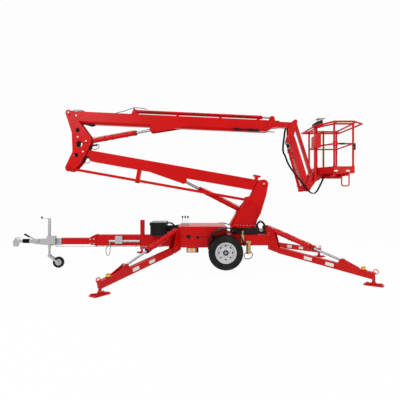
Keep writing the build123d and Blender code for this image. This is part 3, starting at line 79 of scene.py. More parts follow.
class Sheet:
    """One material's node tree, or the world's."""

    def __init__(self, name, world=None):
        self.material = world or bpy.data.materials.new(name)
        self.material.use_nodes = True
        self.tree = self.material.node_tree
        self.tree.nodes.clear()
        self.place = self.node("ShaderNodeTexCoord", {}, {}, "Object")

    def node(self, kind, settings, sockets, output=0):
        made = self.tree.nodes.new(kind)
        for key, value in settings.items():
            if key == "stops":
                ramp = made.color_ramp
                for spot, (position, colour) in enumerate(value):
                    stop = ramp.elements[spot] if spot < 2 else ramp.elements.new(position)
                    stop.position = position
                    stop.color = colour
            else:
                setattr(made, key, value)
        for key, value in sockets.items():
            if isinstance(value, Wire):
                self.tree.links.new(value.socket, made.inputs[key])
            else:
                made.inputs[key].default_value = value
        return Wire(self, made.outputs[output])

    def noise(self, scale, detail=3.0, rough=0.5):
        return self.node("ShaderNodeTexNoise", {}, {
            "Vector": self.place, "Scale": scale, "Detail": detail, "Roughness": rough,
        })

    def band(self, value, low, high, out_low=0.0, out_high=1.0):
        return self.node("ShaderNodeMapRange", {"clamp": True}, {
            "Value": value, "From Min": low, "From Max": high, "To Min": out_low, "To Max": out_high,
        })

    def blend(self, factor, first, second):
        return self.node("ShaderNodeMix", {"data_type": "RGBA"}, {0: factor, 6: first, 7: second}, 2)

    def axis(self, name):
        return self.node("ShaderNodeSeparateXYZ", {}, {"Vector": self.place}, name)

    def bump(self, height, strength, distance, normal=None):
        sockets = {"Height": height, "Strength": strength, "Distance": distance}
        if normal is not None:
            sockets["Normal"] = normal
        return self.node("ShaderNodeBump", {}, sockets)

    def seen_rays(self):
        """1 for the rays that show the background: to the camera, in gloss and through glass."""
        rays = [self.node("ShaderNodeLightPath", {}, {}, kind)
                for kind in ("Is Camera Ray", "Is Glossy Ray", "Is Transmission Ray")]
        return (rays[0] + rays[1] + rays[2]).clamped()

    def finish(self, **sockets):
        named = {key.replace("_", " "): value for key, value in sockets.items()}
        shader = self.node("ShaderNodeBsdfPrincipled", {}, named)
        self.close(shader, "ShaderNodeOutputMaterial")
        return self.material

    def close(self, shader, kind):
        """Sends a shader to the output of the material or the world."""
        out = self.tree.nodes.new(kind)
        self.tree.links.new(shader.socket, out.inputs["Surface"])


def tone(colour, level=1.0):
    """A colour made darker or lighter, with its alpha."""
    return (colour[0] * level, colour[1] * level, colour[2] * level, 1.0)


DUST = (0.30, 0.25, 0.20, 1.0)


def paint_finish(name, colour, roughness, dust=0.2, coat=0.04):
    """Sprayed enamel: faint cloudiness, orange peel, road dust low down and fine scuffs."""
    sheet = Sheet(name)
    cloud = sheet.noise(1.7, 4.0, 0.6)
    fine = sheet.noise(46.0, 3.0, 0.6)
    base = sheet.blend(sheet.band(cloud, 0.3, 0.7), tone(colour, 0.9), tone(colour, 1.06))
    low = sheet.band(sheet.axis("Z"), 0.02, 0.75, 1.0, 0.0)
    settled = (low * sheet.band(fine, 0.45, 0.75) * dust).clamped()
    base = sheet.blend(settled, base, DUST)
    scuff = sheet.noise(9.0, 8.0, 0.75)
    dull = sheet.band(scuff, 0.55, 0.8, 0.0, 0.16)
    gloss = sheet.band(fine, 0.3, 0.7, roughness - 0.03, roughness + 0.04)
    rough = (gloss + dull + settled * 0.5).clamped()
    peel = sheet.noise(260.0, 2.0, 0.4)
    wave = sheet.noise(5.0, 2.0, 0.5)
    normal = sheet.bump(peel, 0.05, 0.0006)
    normal = sheet.bump(wave, 0.08, 0.004, normal)
    return sheet.finish(
        Base_Color=base, Roughness=rough, Normal=normal, Coat_Weight=coat, Coat_Roughness=0.16,
        Specular_IOR_Level=0.1)


def zinc_finish(name, colour, roughness=0.42):
    """Galvanised steel: spangle, dull patches and a fine grain."""
    sheet = Sheet(name)
    spangle = sheet.node("ShaderNodeTexVoronoi", {}, {"Vector": sheet.place, "Scale": 55.0}, "Color")
    grey = sheet.node("ShaderNodeRGBToBW", {}, {"Color": spangle})
    patch = sheet.noise(7.0, 5.0, 0.6)
    base = sheet.blend(sheet.band(grey, 0.1, 0.9), tone(colour, 0.86), tone(colour, 1.08))
    base = sheet.blend(sheet.band(patch, 0.5, 0.75, 0.0, 0.5), base, tone((0.42, 0.41, 0.38)))
    gloss = sheet.band(grey, 0.0, 1.0, roughness - 0.08, roughness + 0.08)
    rough = (gloss + sheet.band(patch, 0.5, 0.8, 0.0, 0.2)).clamped()
    normal = sheet.bump(sheet.noise(150.0), 0.12, 0.0006)
    return sheet.finish(Base_Color=base, Roughness=rough, Metallic=0.85, Normal=normal)


def rod_finish(name, colour):
    """Plated cylinder rod: bright, with a thin film of oil and fine turning marks."""
    sheet = Sheet(name)
    film = sheet.noise(14.0, 3.0, 0.6)
    base = sheet.blend(sheet.band(film, 0.4, 0.8), tone(colour), tone(colour, 0.86))
    rough = sheet.band(film, 0.3, 0.8, 0.2, 0.34)
    normal = sheet.bump(sheet.noise(420.0), 0.05, 0.0002)
    return sheet.finish(Base_Color=base, Roughness=rough, Metallic=0.95, Normal=normal)


def rubber_finish(name, colour, roughness=0.75, grain=90.0, dust=0.5):
    """Moulded rubber or plastic: matt, finely grained, dusty near the ground."""
    sheet = Sheet(name)
    fine = sheet.noise(grain, 4.0, 0.65)
    patch = sheet.noise(6.0, 4.0, 0.6)
    low = sheet.band(sheet.axis("Z"), 0.05, 0.9, 1.0, 0.15)
    base = sheet.blend(sheet.band(fine, 0.3, 0.7), tone(colour, 0.8), tone(colour, 1.3))
    base = sheet.blend((sheet.band(patch, 0.45, 0.8) * low * dust * 0.25).clamped(), base, DUST)
    rough = sheet.band(fine, 0.3, 0.7, roughness - 0.1, roughness + 0.08)
    normal = sheet.bump(fine, 0.25, 0.0008)
    return sheet.finish(Base_Color=base, Roughness=rough, Normal=normal, Specular_IOR_Level=0.16)


def tyre_finish(name, colour, centre):
    """Tyre rubber with moulded rings on the side wall."""
    sheet = Sheet(name)
    flat = sheet.node("ShaderNodeVectorMath", {"operation": "SUBTRACT"}, {0: sheet.place, 1: centre})
    flat = sheet.node("ShaderNodeVectorMath", {"operation": "MULTIPLY"}, {0: flat, 1: (1.0, 0.0, 1.0)})
    reach = sheet.node("ShaderNodeVectorMath", {"operation": "LENGTH"}, {0: flat}, "Value")
    rings = sheet.node("ShaderNodeMath", {"operation": "SINE"}, {0: reach * 520.0})
    wall = sheet.band(reach, 0.215, 0.225) * sheet.band(reach, 0.30, 0.31, 1.0, 0.0)
    fine = sheet.noise(70.0, 4.0, 0.65)
    base = sheet.blend(sheet.band(fine, 0.3, 0.7), tone(colour, 0.85), tone(colour, 1.35))
    dusty = sheet.band(sheet.noise(8.0, 4.0), 0.4, 0.8, 0.0, 0.06)
    base = sheet.blend(dusty, base, DUST)
    rough = sheet.band(fine, 0.3, 0.7, 0.66, 0.82)
    normal = sheet.bump(rings * wall, 0.5, 0.0016)
    normal = sheet.bump(fine, 0.2, 0.0006, normal)
    return sheet.finish(Base_Color=base, Roughness=rough, Normal=normal, Specular_IOR_Level=0.16)


def lens_finish(name, colour):
    """Moulded lamp lens with fine prisms."""
    sheet = Sheet(name)
    ribs = sheet.node("ShaderNodeTexWave", {"wave_type": "BANDS", "bands_direction": "Z"}, {
        "Vector": sheet.place, "Scale": 60.0,
    }, "Fac")
    base = sheet.blend(ribs, tone(colour, 0.85), tone(colour, 1.1))
    normal = sheet.bump(ribs, 0.3, 0.001)
    return sheet.finish(Base_Color=base, Roughness=0.12, Normal=normal, Coat_Weight=0.6)


def plate_finish(name, colour):
    """A blank printed plate, slightly yellowed and scratched."""
    sheet = Sheet(name)
    cloud = sheet.noise(20.0, 5.0)
    scratch = sheet.noise(90.0, 8.0, 0.8)
    base = sheet.blend(sheet.band(cloud, 0.4, 0.8, 0.0, 0.5), tone(colour), tone((0.70, 0.67, 0.58)))
    rough = sheet.band(scratch, 0.3, 0.7, 0.3, 0.5)
    return sheet.finish(Base_Color=base, Roughness=rough, Normal=sheet.bump(scratch, 0.05, 0.0003))


# Mesh making

SHARP_EDGE = math.radians(32.0)
MERGE_GAP = 1e-6


def rectangle(half_along, half_up):
    """An outline of four corners about its middle."""
    return [(-half_along, -half_up), (half_along, -half_up), (half_along, half_up), (-half_along, half_up)]


def ring_profile(inner, outer, depth):
    """The profile of a flat ring, for turning."""
    return [(0.0, inner), (0.0, outer), (depth, outer), (depth, inner), (0.0, inner)]


def across(y):
    """A shift to the side."""
    return Vector((0.0, y, 0.0))


def around(angle):
    """A level direction at an angle from +X."""
    return Vector((math.cos(angle), math.sin(angle), 0.0))


class Shape:
    """Faces gathered for one piece."""

    def __init__(self):
        self.bm = bmesh.new()

    def _ring(self, centre, side, up, radius, sides):
        ring = []
        for k in range(sides):
            angle = 2 * math.pi * k / sides
            place = centre + side * math.cos(angle) * radius + up * math.sin(angle) * radius
            ring.append(self.bm.verts.new(place))
        return ring

    def _join(self, first, last):
        count = len(first)
        for k in range(count):
            self.bm.faces.new((first[k], first[(k + 1) % count], last[(k + 1) % count], last[k]))

    def turned(self, origin, axis, profile, sides=32):
        """A lathe-turned form: profile gives along and out from the axis."""
        origin, axis = Vector(origin), Vector(axis).normalized()
        side = axis.orthogonal().normalized()
        up = axis.cross(side)
        rings = []
        for along, out in profile:
            centre = origin + axis * along
            if out < MERGE_GAP:
                rings.append([self.bm.verts.new(centre)])
            else:
                rings.append(self._ring(centre, side, up, out, sides))
        for first, last in zip(rings, rings[1:]):
            if len(first) == 1 and len(last) == 1:
                continue
            if len(first) == 1:
                for k in range(sides):
                    self.bm.faces.new((first[0], last[(k + 1) % sides], last[k]))
            elif len(last) == 1:
                for k in range(sides):
                    self.bm.faces.new((first[k], first[(k + 1) % sides], last[0]))
            else:
                self._join(first, last)

    def plate(self, origin, along, up, outline, thickness):
        """A flat outline given in along and up, grown to both sides."""
        origin, along, up = Vector(origin), Vector(along).normalized(), Vector(up).normalized()
        out = along.cross(up).normalized()
        low = [self.bm.verts.new(origin + along * a + up * b - out * thickness / 2) for a, b in outline]
        high = [self.bm.verts.new(origin + along * a + up * b + out * thickness / 2) for a, b in outline]
        self.bm.faces.new(list(reversed(low)))
        self.bm.faces.new(high)
        self._join(low, high)

    def block(self, low, high):
        """A box between its lowest and highest corners."""
        middle = [(a + b) / 2 for a, b in zip(low, high)]
        half_x, half_y = [(b - a) / 2 for a, b in zip(low, high)][:2]
        self.plate(middle, (1, 0, 0), (0, 1, 0), rectangle(half_x, half_y), high[2] - low[2])

    def pipe(self, points, radius, sides=12):
        """A round pipe through points, with closed ends."""
        points = [Vector(point) for point in points]
        heading = (points[1] - points[0]).normalized()
        side = heading.orthogonal().normalized()
        rings = []
        for spot, point in enumerate(points):
            before = points[max(spot - 1, 0)]
            after = points[min(spot + 1, len(points) - 1)]
            heading = (after - before).normalized()
            side = (side - heading * side.dot(heading)).normalized()
            rings.append(self._ring(point, side, heading.cross(side), radius, sides))
        for first, last in zip(rings, rings[1:]):
            self._join(first, last)
        self.bm.faces.new(list(reversed(rings[0])))
        self.bm.faces.new(rings[-1])

    def bent_pipe(self, points, radius, sides=12, steps=5):
        """A round pipe on a smooth curve through points."""
        self.pipe(smooth_run(points, steps), radius, sides)

    def piece(self, name, finish, body, bevel=0.0, slot=None):
        """The finished object, riding on its body."""
        bmesh.ops.remove_doubles(self.bm, verts=self.bm.verts, dist=MERGE_GAP)
        bmesh.ops.recalc_face_normals(self.bm, faces=self.bm.faces)
        for face in self.bm.faces:
            face.smooth = True
        for edge in self.bm.edges:
            if len(edge.link_faces) == 2 and edge.calc_face_angle(0.0) > SHARP_EDGE:
                edge.smooth = False
        mesh = bpy.data.meshes.new(name)
        self.bm.to_mesh(mesh)
        self.bm.free()
        return dressed(name, mesh, finish, body, bevel, slot)


def dressed(name, mesh, finish, body, bevel=0.0, slot=None):
    """An object for a mesh in its finish, riding on its body; its slot is worked out but not used."""
    slot = slot or FINISH_SLOTS[finish]
    made = bpy.data.objects.new(name, mesh)
    bpy.context.scene.collection.objects.link(made)
    mesh.materials.clear()
    mesh.materials.append(finishes()[finish])
    if bevel:
        rounding = made.modifiers.new("Rounding", "BEVEL")
        rounding.width = bevel
        rounding.segments = 2
        rounding.limit_method = "ANGLE"
        rounding.harden_normals = True
    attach(made, body)
    return made


def smooth_run(points, steps=6):
    """Points along a smooth curve that passes through the given ones."""
    points = [Vector(point) for point in points]
    padded = [points[0] * 2 - points[1]] + points + [points[-1] * 2 - points[-2]]
    run = []
    for spot in range(1, len(padded) - 2):
        a, b, c, d = padded[spot - 1:spot + 3]
        for step in range(steps):
            t = step / steps
            run.append(0.5 * ((2 * b) + (c - a) * t + (2 * a - 5 * b + 4 * c - d) * t * t
                              + (3 * b - a - 3 * c + d) * t * t * t))
    run.append(points[-1])
    return run


# Geometry Nodes

class Tree:
    """A Geometry Nodes tree with named inputs."""

    def __init__(self, name, numbers):
        self.group = bpy.data.node_groups.new(name, "GeometryNodeTree")
        self.group.interface.new_socket("Geometry", in_out="INPUT", socket_type="NodeSocketGeometry")
        for label, kind, value in numbers:
            made = self.group.interface.new_socket(label, in_out="INPUT", socket_type=kind)
            if value is not None:
                made.default_value = value
        self.group.interface.new_socket("Geometry", in_out="OUTPUT", socket_type="NodeSocketGeometry")
        self.start = self.group.nodes.new("NodeGroupInput")
        self.end = self.group.nodes.new("NodeGroupOutput")

    def node(self, kind, settings, sockets):
        made = self.group.nodes.new(kind)
        for key, value in settings.items():
            setattr(made, key, value)
        for key, value in sockets.items():
            if isinstance(value, bpy.types.NodeSocket):
                self.group.links.new(value, made.inputs[key])
            else:
                made.inputs[key].default_value = value
        return made

    def close(self, geometry):
        realized = self.node("GeometryNodeRealizeInstances", {}, {"Geometry": geometry})
        painted = self.node("GeometryNodeSetMaterial", {}, {
            "Geometry": realized.outputs["Geometry"], "Material": self.start.outputs["Material"],
        })
        self.group.links.new(painted.outputs["Geometry"], self.end.inputs["Geometry"])


def grown(name, tree, carrier, values, finish, body):
    """Runs a tree on a carrier mesh and keeps the result as a plain piece."""
    holder = bpy.data.objects.new(name + "_carrier", carrier)
    bpy.context.scene.collection.objects.link(holder)
    modifier = holder.modifiers.new("Repeat", "NODES")
    modifier.node_group = tree.group
    values = {**values, "Material": finishes()[finish]}
    for item in tree.group.interface.items_tree:
        if item.item_type == "SOCKET" and item.in_out == "INPUT" and item.name in values:
            modifier[item.identifier] = values[item.name]
    graph = bpy.context.evaluated_depsgraph_get()
    graph.update()
    mesh = bpy.data.meshes.new_from_object(holder.evaluated_get(graph))
    mesh.name = name
    holder.modifiers.clear()
    bpy.data.objects.remove(holder)
    return dressed(name, mesh, finish, body)


def spots_mesh(name, spots):
    """A mesh of single points, each with the direction that a fastener on it faces."""
    mesh = bpy.data.meshes.new(name)
    mesh.from_pydata([tuple(point) for point, _ in spots], [], [])
    facings = mesh.attributes.new("facing", "FLOAT_VECTOR", "POINT")
    for spot, (_, facing) in enumerate(spots):
        facings.data[spot].vector = Vector(facing).normalized()
    return mesh


def bolt_tree():
    """Hexagon heads on washers, one on each point."""
    tree = Tree("Bolt Heads", [
        ("Head Radius", "NodeSocketFloat", 0.012), ("Head Height", "NodeSocketFloat", 0.009),
        ("Washer Radius", "NodeSocketFloat", 0.017), ("Material", "NodeSocketMaterial", None),
    ])
    given = tree.start.outputs
    head = tree.node("GeometryNodeMeshCylinder", {}, {
        "Vertices": 6, "Radius": given["Head Radius"], "Depth": given["Head Height"],
    })
    raised = tree.node("GeometryNodeTransform", {}, {
        "Geometry": head.outputs["Mesh"], "Translation": (0, 0, 0.006),
    })
    washer = tree.node("GeometryNodeMeshCylinder", {}, {
        "Vertices": 16, "Radius": given["Washer Radius"], "Depth": 0.004,
    })
    both = tree.group.nodes.new("GeometryNodeJoinGeometry")
    tree.group.links.new(raised.outputs["Geometry"], both.inputs["Geometry"])
    tree.group.links.new(washer.outputs["Mesh"], both.inputs["Geometry"])
    facing = tree.node("GeometryNodeInputNamedAttribute", {"data_type": "FLOAT_VECTOR"}, {"Name": "facing"})
    turn = tree.node("FunctionNodeAlignRotationToVector", {"axis": "Z"}, {
        "Vector": facing.outputs["Attribute"],
    })
    placed = tree.node("GeometryNodeInstanceOnPoints", {}, {
        "Points": given["Geometry"], "Instance": both.outputs["Geometry"],
        "Rotation": turn.outputs["Rotation"],
    })
    tree.close(placed.outputs["Instances"])
    return tree


TREAD_BLOCKS = 54


def tread_tree():
    """Tread blocks round a tyre: the carrier's points are the rows' starts."""
    tree = Tree("Tread Blocks", [
        ("Blocks", "NodeSocketInt", TREAD_BLOCKS), ("Tread Radius", "NodeSocketFloat", 0.334),
        ("Block Length", "NodeSocketFloat", 0.028), ("Block Width", "NodeSocketFloat", 0.03),
        ("Block Height", "NodeSocketFloat", 0.01), ("Material", "NodeSocketMaterial", None),
    ])
    given = tree.start.outputs
    ring = tree.node("GeometryNodeMeshCircle", {}, {
        "Vertices": given["Blocks"], "Radius": given["Tread Radius"],
    })
    size = tree.node("ShaderNodeCombineXYZ", {}, {
        "X": given["Block Height"], "Y": given["Block Length"], "Z": given["Block Width"],
    })
    block = tree.node("GeometryNodeMeshCube", {}, {"Size": size.outputs["Vector"]})
    skewed = tree.node("GeometryNodeTransform", {}, {
        "Geometry": block.outputs["Mesh"], "Rotation": (0.22, 0.0, 0.0),
    })
    where = tree.node("GeometryNodeInputPosition", {}, {})
    turn = tree.node("FunctionNodeAlignRotationToVector", {"axis": "X"}, {
        "Vector": where.outputs["Position"],
    })
    row = tree.node("GeometryNodeInstanceOnPoints", {}, {
        "Points": ring.outputs["Mesh"], "Instance": skewed.outputs["Geometry"],
        "Rotation": turn.outputs["Rotation"],
    })
    upright = tree.node("GeometryNodeTransform", {}, {
        "Geometry": row.outputs["Instances"], "Rotation": (math.pi / 2, 0.0, 0.0),
    })
    index = tree.node("GeometryNodeInputIndex", {}, {})
    half = tree.node("ShaderNodeMath", {"operation": "MULTIPLY"}, {
        0: index.outputs["Index"], 1: math.pi / TREAD_BLOCKS,
    })
    spin = tree.node("ShaderNodeCombineXYZ", {}, {"Y": half.outputs[0]})
    rows = tree.node("GeometryNodeInstanceOnPoints", {}, {
        "Points": given["Geometry"], "Instance": upright.outputs["Geometry"],
        "Rotation": spin.outputs["Vector"],
    })
    tree.close(rows.outputs["Instances"])
    return tree


def tile_tree():
    """Raised lozenges over a flat carrier, laid alternately each way, as on chequered plate."""
    tree = Tree("Chequer Marks", [
        ("Mark Length", "NodeSocketFloat", 0.026), ("Mark Width", "NodeSocketFloat", 0.006),
        ("Material", "NodeSocketMaterial", None),
    ])
    given = tree.start.outputs
    size = tree.node("ShaderNodeCombineXYZ", {}, {
        "X": given["Mark Length"], "Y": given["Mark Width"], "Z": 0.003,
    })
    mark = tree.node("GeometryNodeMeshCube", {}, {"Size": size.outputs["Vector"]})
    index = tree.node("GeometryNodeInputIndex", {}, {})
    odd = tree.node("ShaderNodeMath", {"operation": "MODULO"}, {0: index.outputs["Index"], 1: 2.0})
    turn = tree.node("ShaderNodeMath", {"operation": "MULTIPLY_ADD"}, {
        0: odd.outputs[0], 1: math.pi / 2, 2: math.pi / 4,
    })
    spin = tree.node("ShaderNodeCombineXYZ", {}, {"Z": turn.outputs[0]})
    placed = tree.node("GeometryNodeInstanceOnPoints", {}, {
        "Points": given["Geometry"], "Instance": mark.outputs["Mesh"], "Rotation": spin.outputs["Vector"],
    })
    tree.close(placed.outputs["Instances"])
    return tree


# Places shared by the pieces, in metres

BOOM_PIVOT = Vector((1.676, 0.0, 1.782))
LOWER_ANGLE = math.radians(10.07)
LOWER_ALONG = Vector((-math.cos(LOWER_ANGLE), 0.0, math.sin(LOWER_ANGLE)))
LOWER_UP = Vector((math.sin(LOWER_ANGLE), 0.0, math.cos(LOWER_ANGLE)))
KNUCKLE_PIN = BOOM_PIVOT + LOWER_ALONG * 3.815
LINK_STEP = Vector((-0.300, 0.0, -0.345))
TOWER_LINK_PIN = BOOM_PIVOT + LINK_STEP
KNUCKLE_LINK_PIN = KNUCKLE_PIN + LINK_STEP
UPPER_PIVOT = KNUCKLE_PIN + Vector((-0.303, 0.0, 0.816))
UPPER_LIFT_BASE = KNUCKLE_PIN + Vector((0.064, 0.0, 0.222))
UPPER_ANGLE = math.radians(2.65)
UPPER_ALONG = Vector((math.cos(UPPER_ANGLE), 0.0, -math.sin(UPPER_ANGLE)))
UPPER_UP = Vector((math.sin(UPPER_ANGLE), 0.0, math.cos(UPPER_ANGLE)))
LIFT_BASE = Vector((1.275, 0.0, 1.196))
JIB_RAM_TOP = Vector((2.184, 0.0, 2.648))
JIB_RAM_FOOT = Vector((2.457, 0.0, 1.648))
WHEEL = Vector((0.847, 0.617, 0.436))
JOCKEY_WHEEL = Vector((-2.597, -0.095, 0.152))
UP = Vector((0.0, 0.0, 1.0))
SIDES = (-1, 1)
SLEW_X = 1.275
CHEEK_FACE = 0.118
COVER_SIDE = 0.480
CONSOLE = Vector((2.8125, 0.0, 3.0825))
CONSOLE_SLOPE = Vector((0.914, 0.0, 0.406))
LEGS = {
    "front_near": (Vector((-0.191, -0.600, 0.465)), 180 + 54.2),
    "front_far": (Vector((-0.191, 0.600, 0.465)), 180 - 54.2),
    "rear_near": (Vector((1.892, -0.450, 0.465)), -33.8),
    "rear_far": (Vector((1.892, 0.450, 0.465)), 33.8),
}


def leg_frames():
    """Each leg's name, hinge, outward direction and sideways direction."""
    for corner, (hinge, turn) in LEGS.items():
        out = around(math.radians(turn))
        yield corner, hinge, out, out.cross(UP)


def on_lower(along, out, y=0.0):
    """A place measured along and out from the lower boom's pivot."""
    return BOOM_PIVOT + LOWER_ALONG * along + LOWER_UP * out + across(y)


def on_upper(along, out, y=0.0):
    """A place measured along and out from the upper boom's pivot."""
    return UPPER_PIVOT + UPPER_ALONG * along + UPPER_UP * out + across(y)


class LiftPaint(bpy.types.PropertyGroup):
    """Colours of the lift."""

    enamel: bpy.props.FloatVectorProperty(
        name="Enamel", description="Main colour of frame, booms and basket", subtype="COLOR", size=3,
        default=(0.60, 0.004, 0.004), min=0.0, max=1.0)
    rim: bpy.props.FloatVectorProperty(
        name="Rim", description="Colour of the wheel rims", subtype="COLOR", size=3,
        default=(0.60, 0.61, 0.63), min=0.0, max=1.0)
    beacon: bpy.props.FloatVectorProperty(
        name="Beacon", description="Colour of the leg beacons", subtype="COLOR", size=3,
        default=(0.95, 0.42, 0.01), min=0.0, max=1.0)
    backdrop: bpy.props.FloatVectorProperty(
        name="Backdrop", description="Colour behind the lift", subtype="COLOR", size=3,
        default=(1.0, 1.0, 1.0), min=0.0, max=1.0)


class LiftSizes(bpy.types.PropertyGroup):
    """Sizes of the fittings."""

    bolt: bpy.props.FloatProperty(
        name="Bolt", description="Radius of the hexagon heads", default=0.010, unit="LENGTH",
        subtype="DISTANCE")
    tread: bpy.props.IntProperty(
        name="Tread Blocks", description="Tread blocks in one row of a tyre", default=TREAD_BLOCKS)
    slew_bolts: bpy.props.IntProperty(name="Slew Bolts", description="Bolts round the slew ring", default=24)
    plate: bpy.props.FloatProperty(
        name="Plate", description="Length of the blank plates on the legs", default=0.15, unit="LENGTH",
        subtype="DISTANCE")


FINISHES = {}
FINISH_SLOTS = {
    "red": "red_paint", "beacon": "red_paint", "tail": "red_paint", "rim": "white_paint",
    "plate": "white_paint", "clear": "white_paint", "zinc": "zinc", "rubber": "black_rubber",
    "plastic": "black_plastic", "grey": "black_plastic", "tyre_near": "tyre_rubber",
    "tyre_far": "tyre_rubber",
}


def finishes():
    """The lift's materials, made once."""
    if FINISHES:
        return FINISHES
    paint = bpy.context.scene.lift_paint
    FINISHES["red"] = paint_finish("red_enamel", tuple(paint.enamel), 0.28)
    FINISHES["black"] = paint_finish("black_paint", (0.012, 0.012, 0.013), 0.45, 0.2, 0.05)
    FINISHES["rim"] = paint_finish("rim_enamel", tuple(paint.rim), 0.3, 0.15, 0.2)
    FINISHES["zinc"] = zinc_finish("galvanised", (0.46, 0.47, 0.48))
    FINISHES["gold"] = zinc_finish("yellow_zinc", (0.52, 0.36, 0.15), 0.35)
    FINISHES["rod"] = rod_finish("plated_rod", (0.36, 0.37, 0.39))
    FINISHES["rubber"] = rubber_finish("black_rubber", (0.006, 0.006, 0.007))
    FINISHES["plastic"] = rubber_finish("black_plastic", (0.006, 0.006, 0.007), 0.5, 220.0, 0.2)
    FINISHES["grey"] = rubber_finish("grey_plastic", (0.30, 0.31, 0.32), 0.5, 180.0, 0.2)
    for side, sign in (("near", -1), ("far", 1)):
        centre = (WHEEL.x, sign * WHEEL.y, WHEEL.z)
        FINISHES["tyre_" + side] = tyre_finish("tyre_rubber_" + side, (0.007, 0.007, 0.008), centre)
    FINISHES["beacon"] = lens_finish("amber_lens", tuple(paint.beacon))
    FINISHES["tail"] = lens_finish("tail_lens", (0.6, 0.01, 0.01))
    FINISHES["plate"] = plate_finish("blank_plate", (0.82, 0.82, 0.80))
    FINISHES["clear"] = plate_finish("clear_cover", (0.75, 0.80, 0.82))
    return FINISHES


NODE_FINISH = {
    "axle": "black", "fenders": "plastic", "slew_ring": "black", "coupling": "zinc", "jockey_clamp": "zinc",
    "prop_stand": "zinc", "battery_case": "plastic", "pump_unit": "black", "valve_levers": "zinc",
    "road_lamps": "plastic", "hydraulic_filter": "gold", "brake_rod": "zinc", "tyre_near": "tyre_near",
    "tyre_far": "tyre_far", "rim_near": "rim", "rim_far": "rim", "jockey_tube": "zinc", "jockey_fork": "zinc",
    "jockey_wheel": "rubber", "lower_lift_rod": "rod", "upper_lift_rod": "rod", "telescope_rod": "rod",
    "jib_rod": "rod", "platform_console": "plastic",
    **{"outrigger_rod_" + corner: "rod" for corner in LEGS},
}


class LIFT_OT_paint(bpy.types.Operator):
    """Gives every solid its finish"""

    bl_idname = "lift.paint"
    bl_label = "Paint the Solids"

    def execute(self, context):
        made = finishes()
        for name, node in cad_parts.items():
            finish = made[NODE_FINISH.get(name, "red")]
            for slot in node.material_slots:
                slot.material = finish
        return {"FINISHED"}


class LIFT_OT_wheels(bpy.types.Operator):
    """Tread, hub rings, caps and nuts of both road wheels"""

    bl_idname = "lift.wheels"
    bl_label = "Road Wheels"

    def execute(self, context):
        sizes = context.scene.lift_sizes
        tread = tread_tree()
        bolts = bolt_tree()
        row_shifts = (-0.058, -0.02, 0.02, 0.058)
        nut_count = 5
        nut_circle = 0.082
        for side, sign in (("near", -1), ("far", 1)):
            centre = Vector((WHEEL.x, sign * WHEEL.y, WHEEL.z))
            body = "wheel_" + side
            rows = bpy.data.meshes.new("tread_rows")
            rows.from_pydata([(centre.x, centre.y + shift, centre.z) for shift in row_shifts], [], [])
            grown("tread_" + side, tread, rows, {
                "Blocks": sizes.tread, "Tread Radius": 0.3285, "Block Length": 0.027, "Block Width": 0.031,
                "Block Height": 0.012,
            }, "tyre_" + side, body)
            out = Vector((0.0, sign, 0.0))
            hub = Shape()
            hub.turned(centre + out * 0.046, out, [
                (0.0, 0.0), (0.0, 0.028), (0.026, 0.027), (0.032, 0.024), (0.035, 0.014), (0.036, 0.0),
            ])
            hub.piece("hub_cap_" + side, "grey", body)
            dark = Shape()
            dark.turned(centre + out * 0.0445, out, [
                (0.0, 0.0295), (0.0, 0.0545), (0.0065, 0.0545), (0.009, 0.050), (0.009, 0.0295),
                (0.0, 0.0295)], 40)
            dark.turned(centre + out * 0.012, out, ring_profile(0.100, 0.170, 0.004), 48)
            dark.piece("hub_ring_" + side, "plastic", body)
            lip = Shape()
            lip.turned(centre + out * 0.0855, out, [
                (0.0, 0.186), (0.0, 0.2005), (0.006, 0.2035), (0.009, 0.202), (0.009, 0.197), (0.004, 0.190),
                (0.003, 0.186), (0.0, 0.186),
            ], 72)
            lip.piece("rim_lip_" + side, "rim", body)
            nuts = []
            for spot in range(nut_count):
                angle = 2 * math.pi * spot / nut_count + 0.3
                reach = Vector((math.cos(angle), 0, math.sin(angle))) * nut_circle
                nuts.append((centre + out * 0.042 + reach, out))
            grown("wheel_nuts_" + side, bolts, spots_mesh("nut_spots", nuts), {
                "Head Radius": 0.012, "Head Height": 0.018, "Washer Radius": 0.015,
            }, "zinc", body)
        return {"FINISHED"}


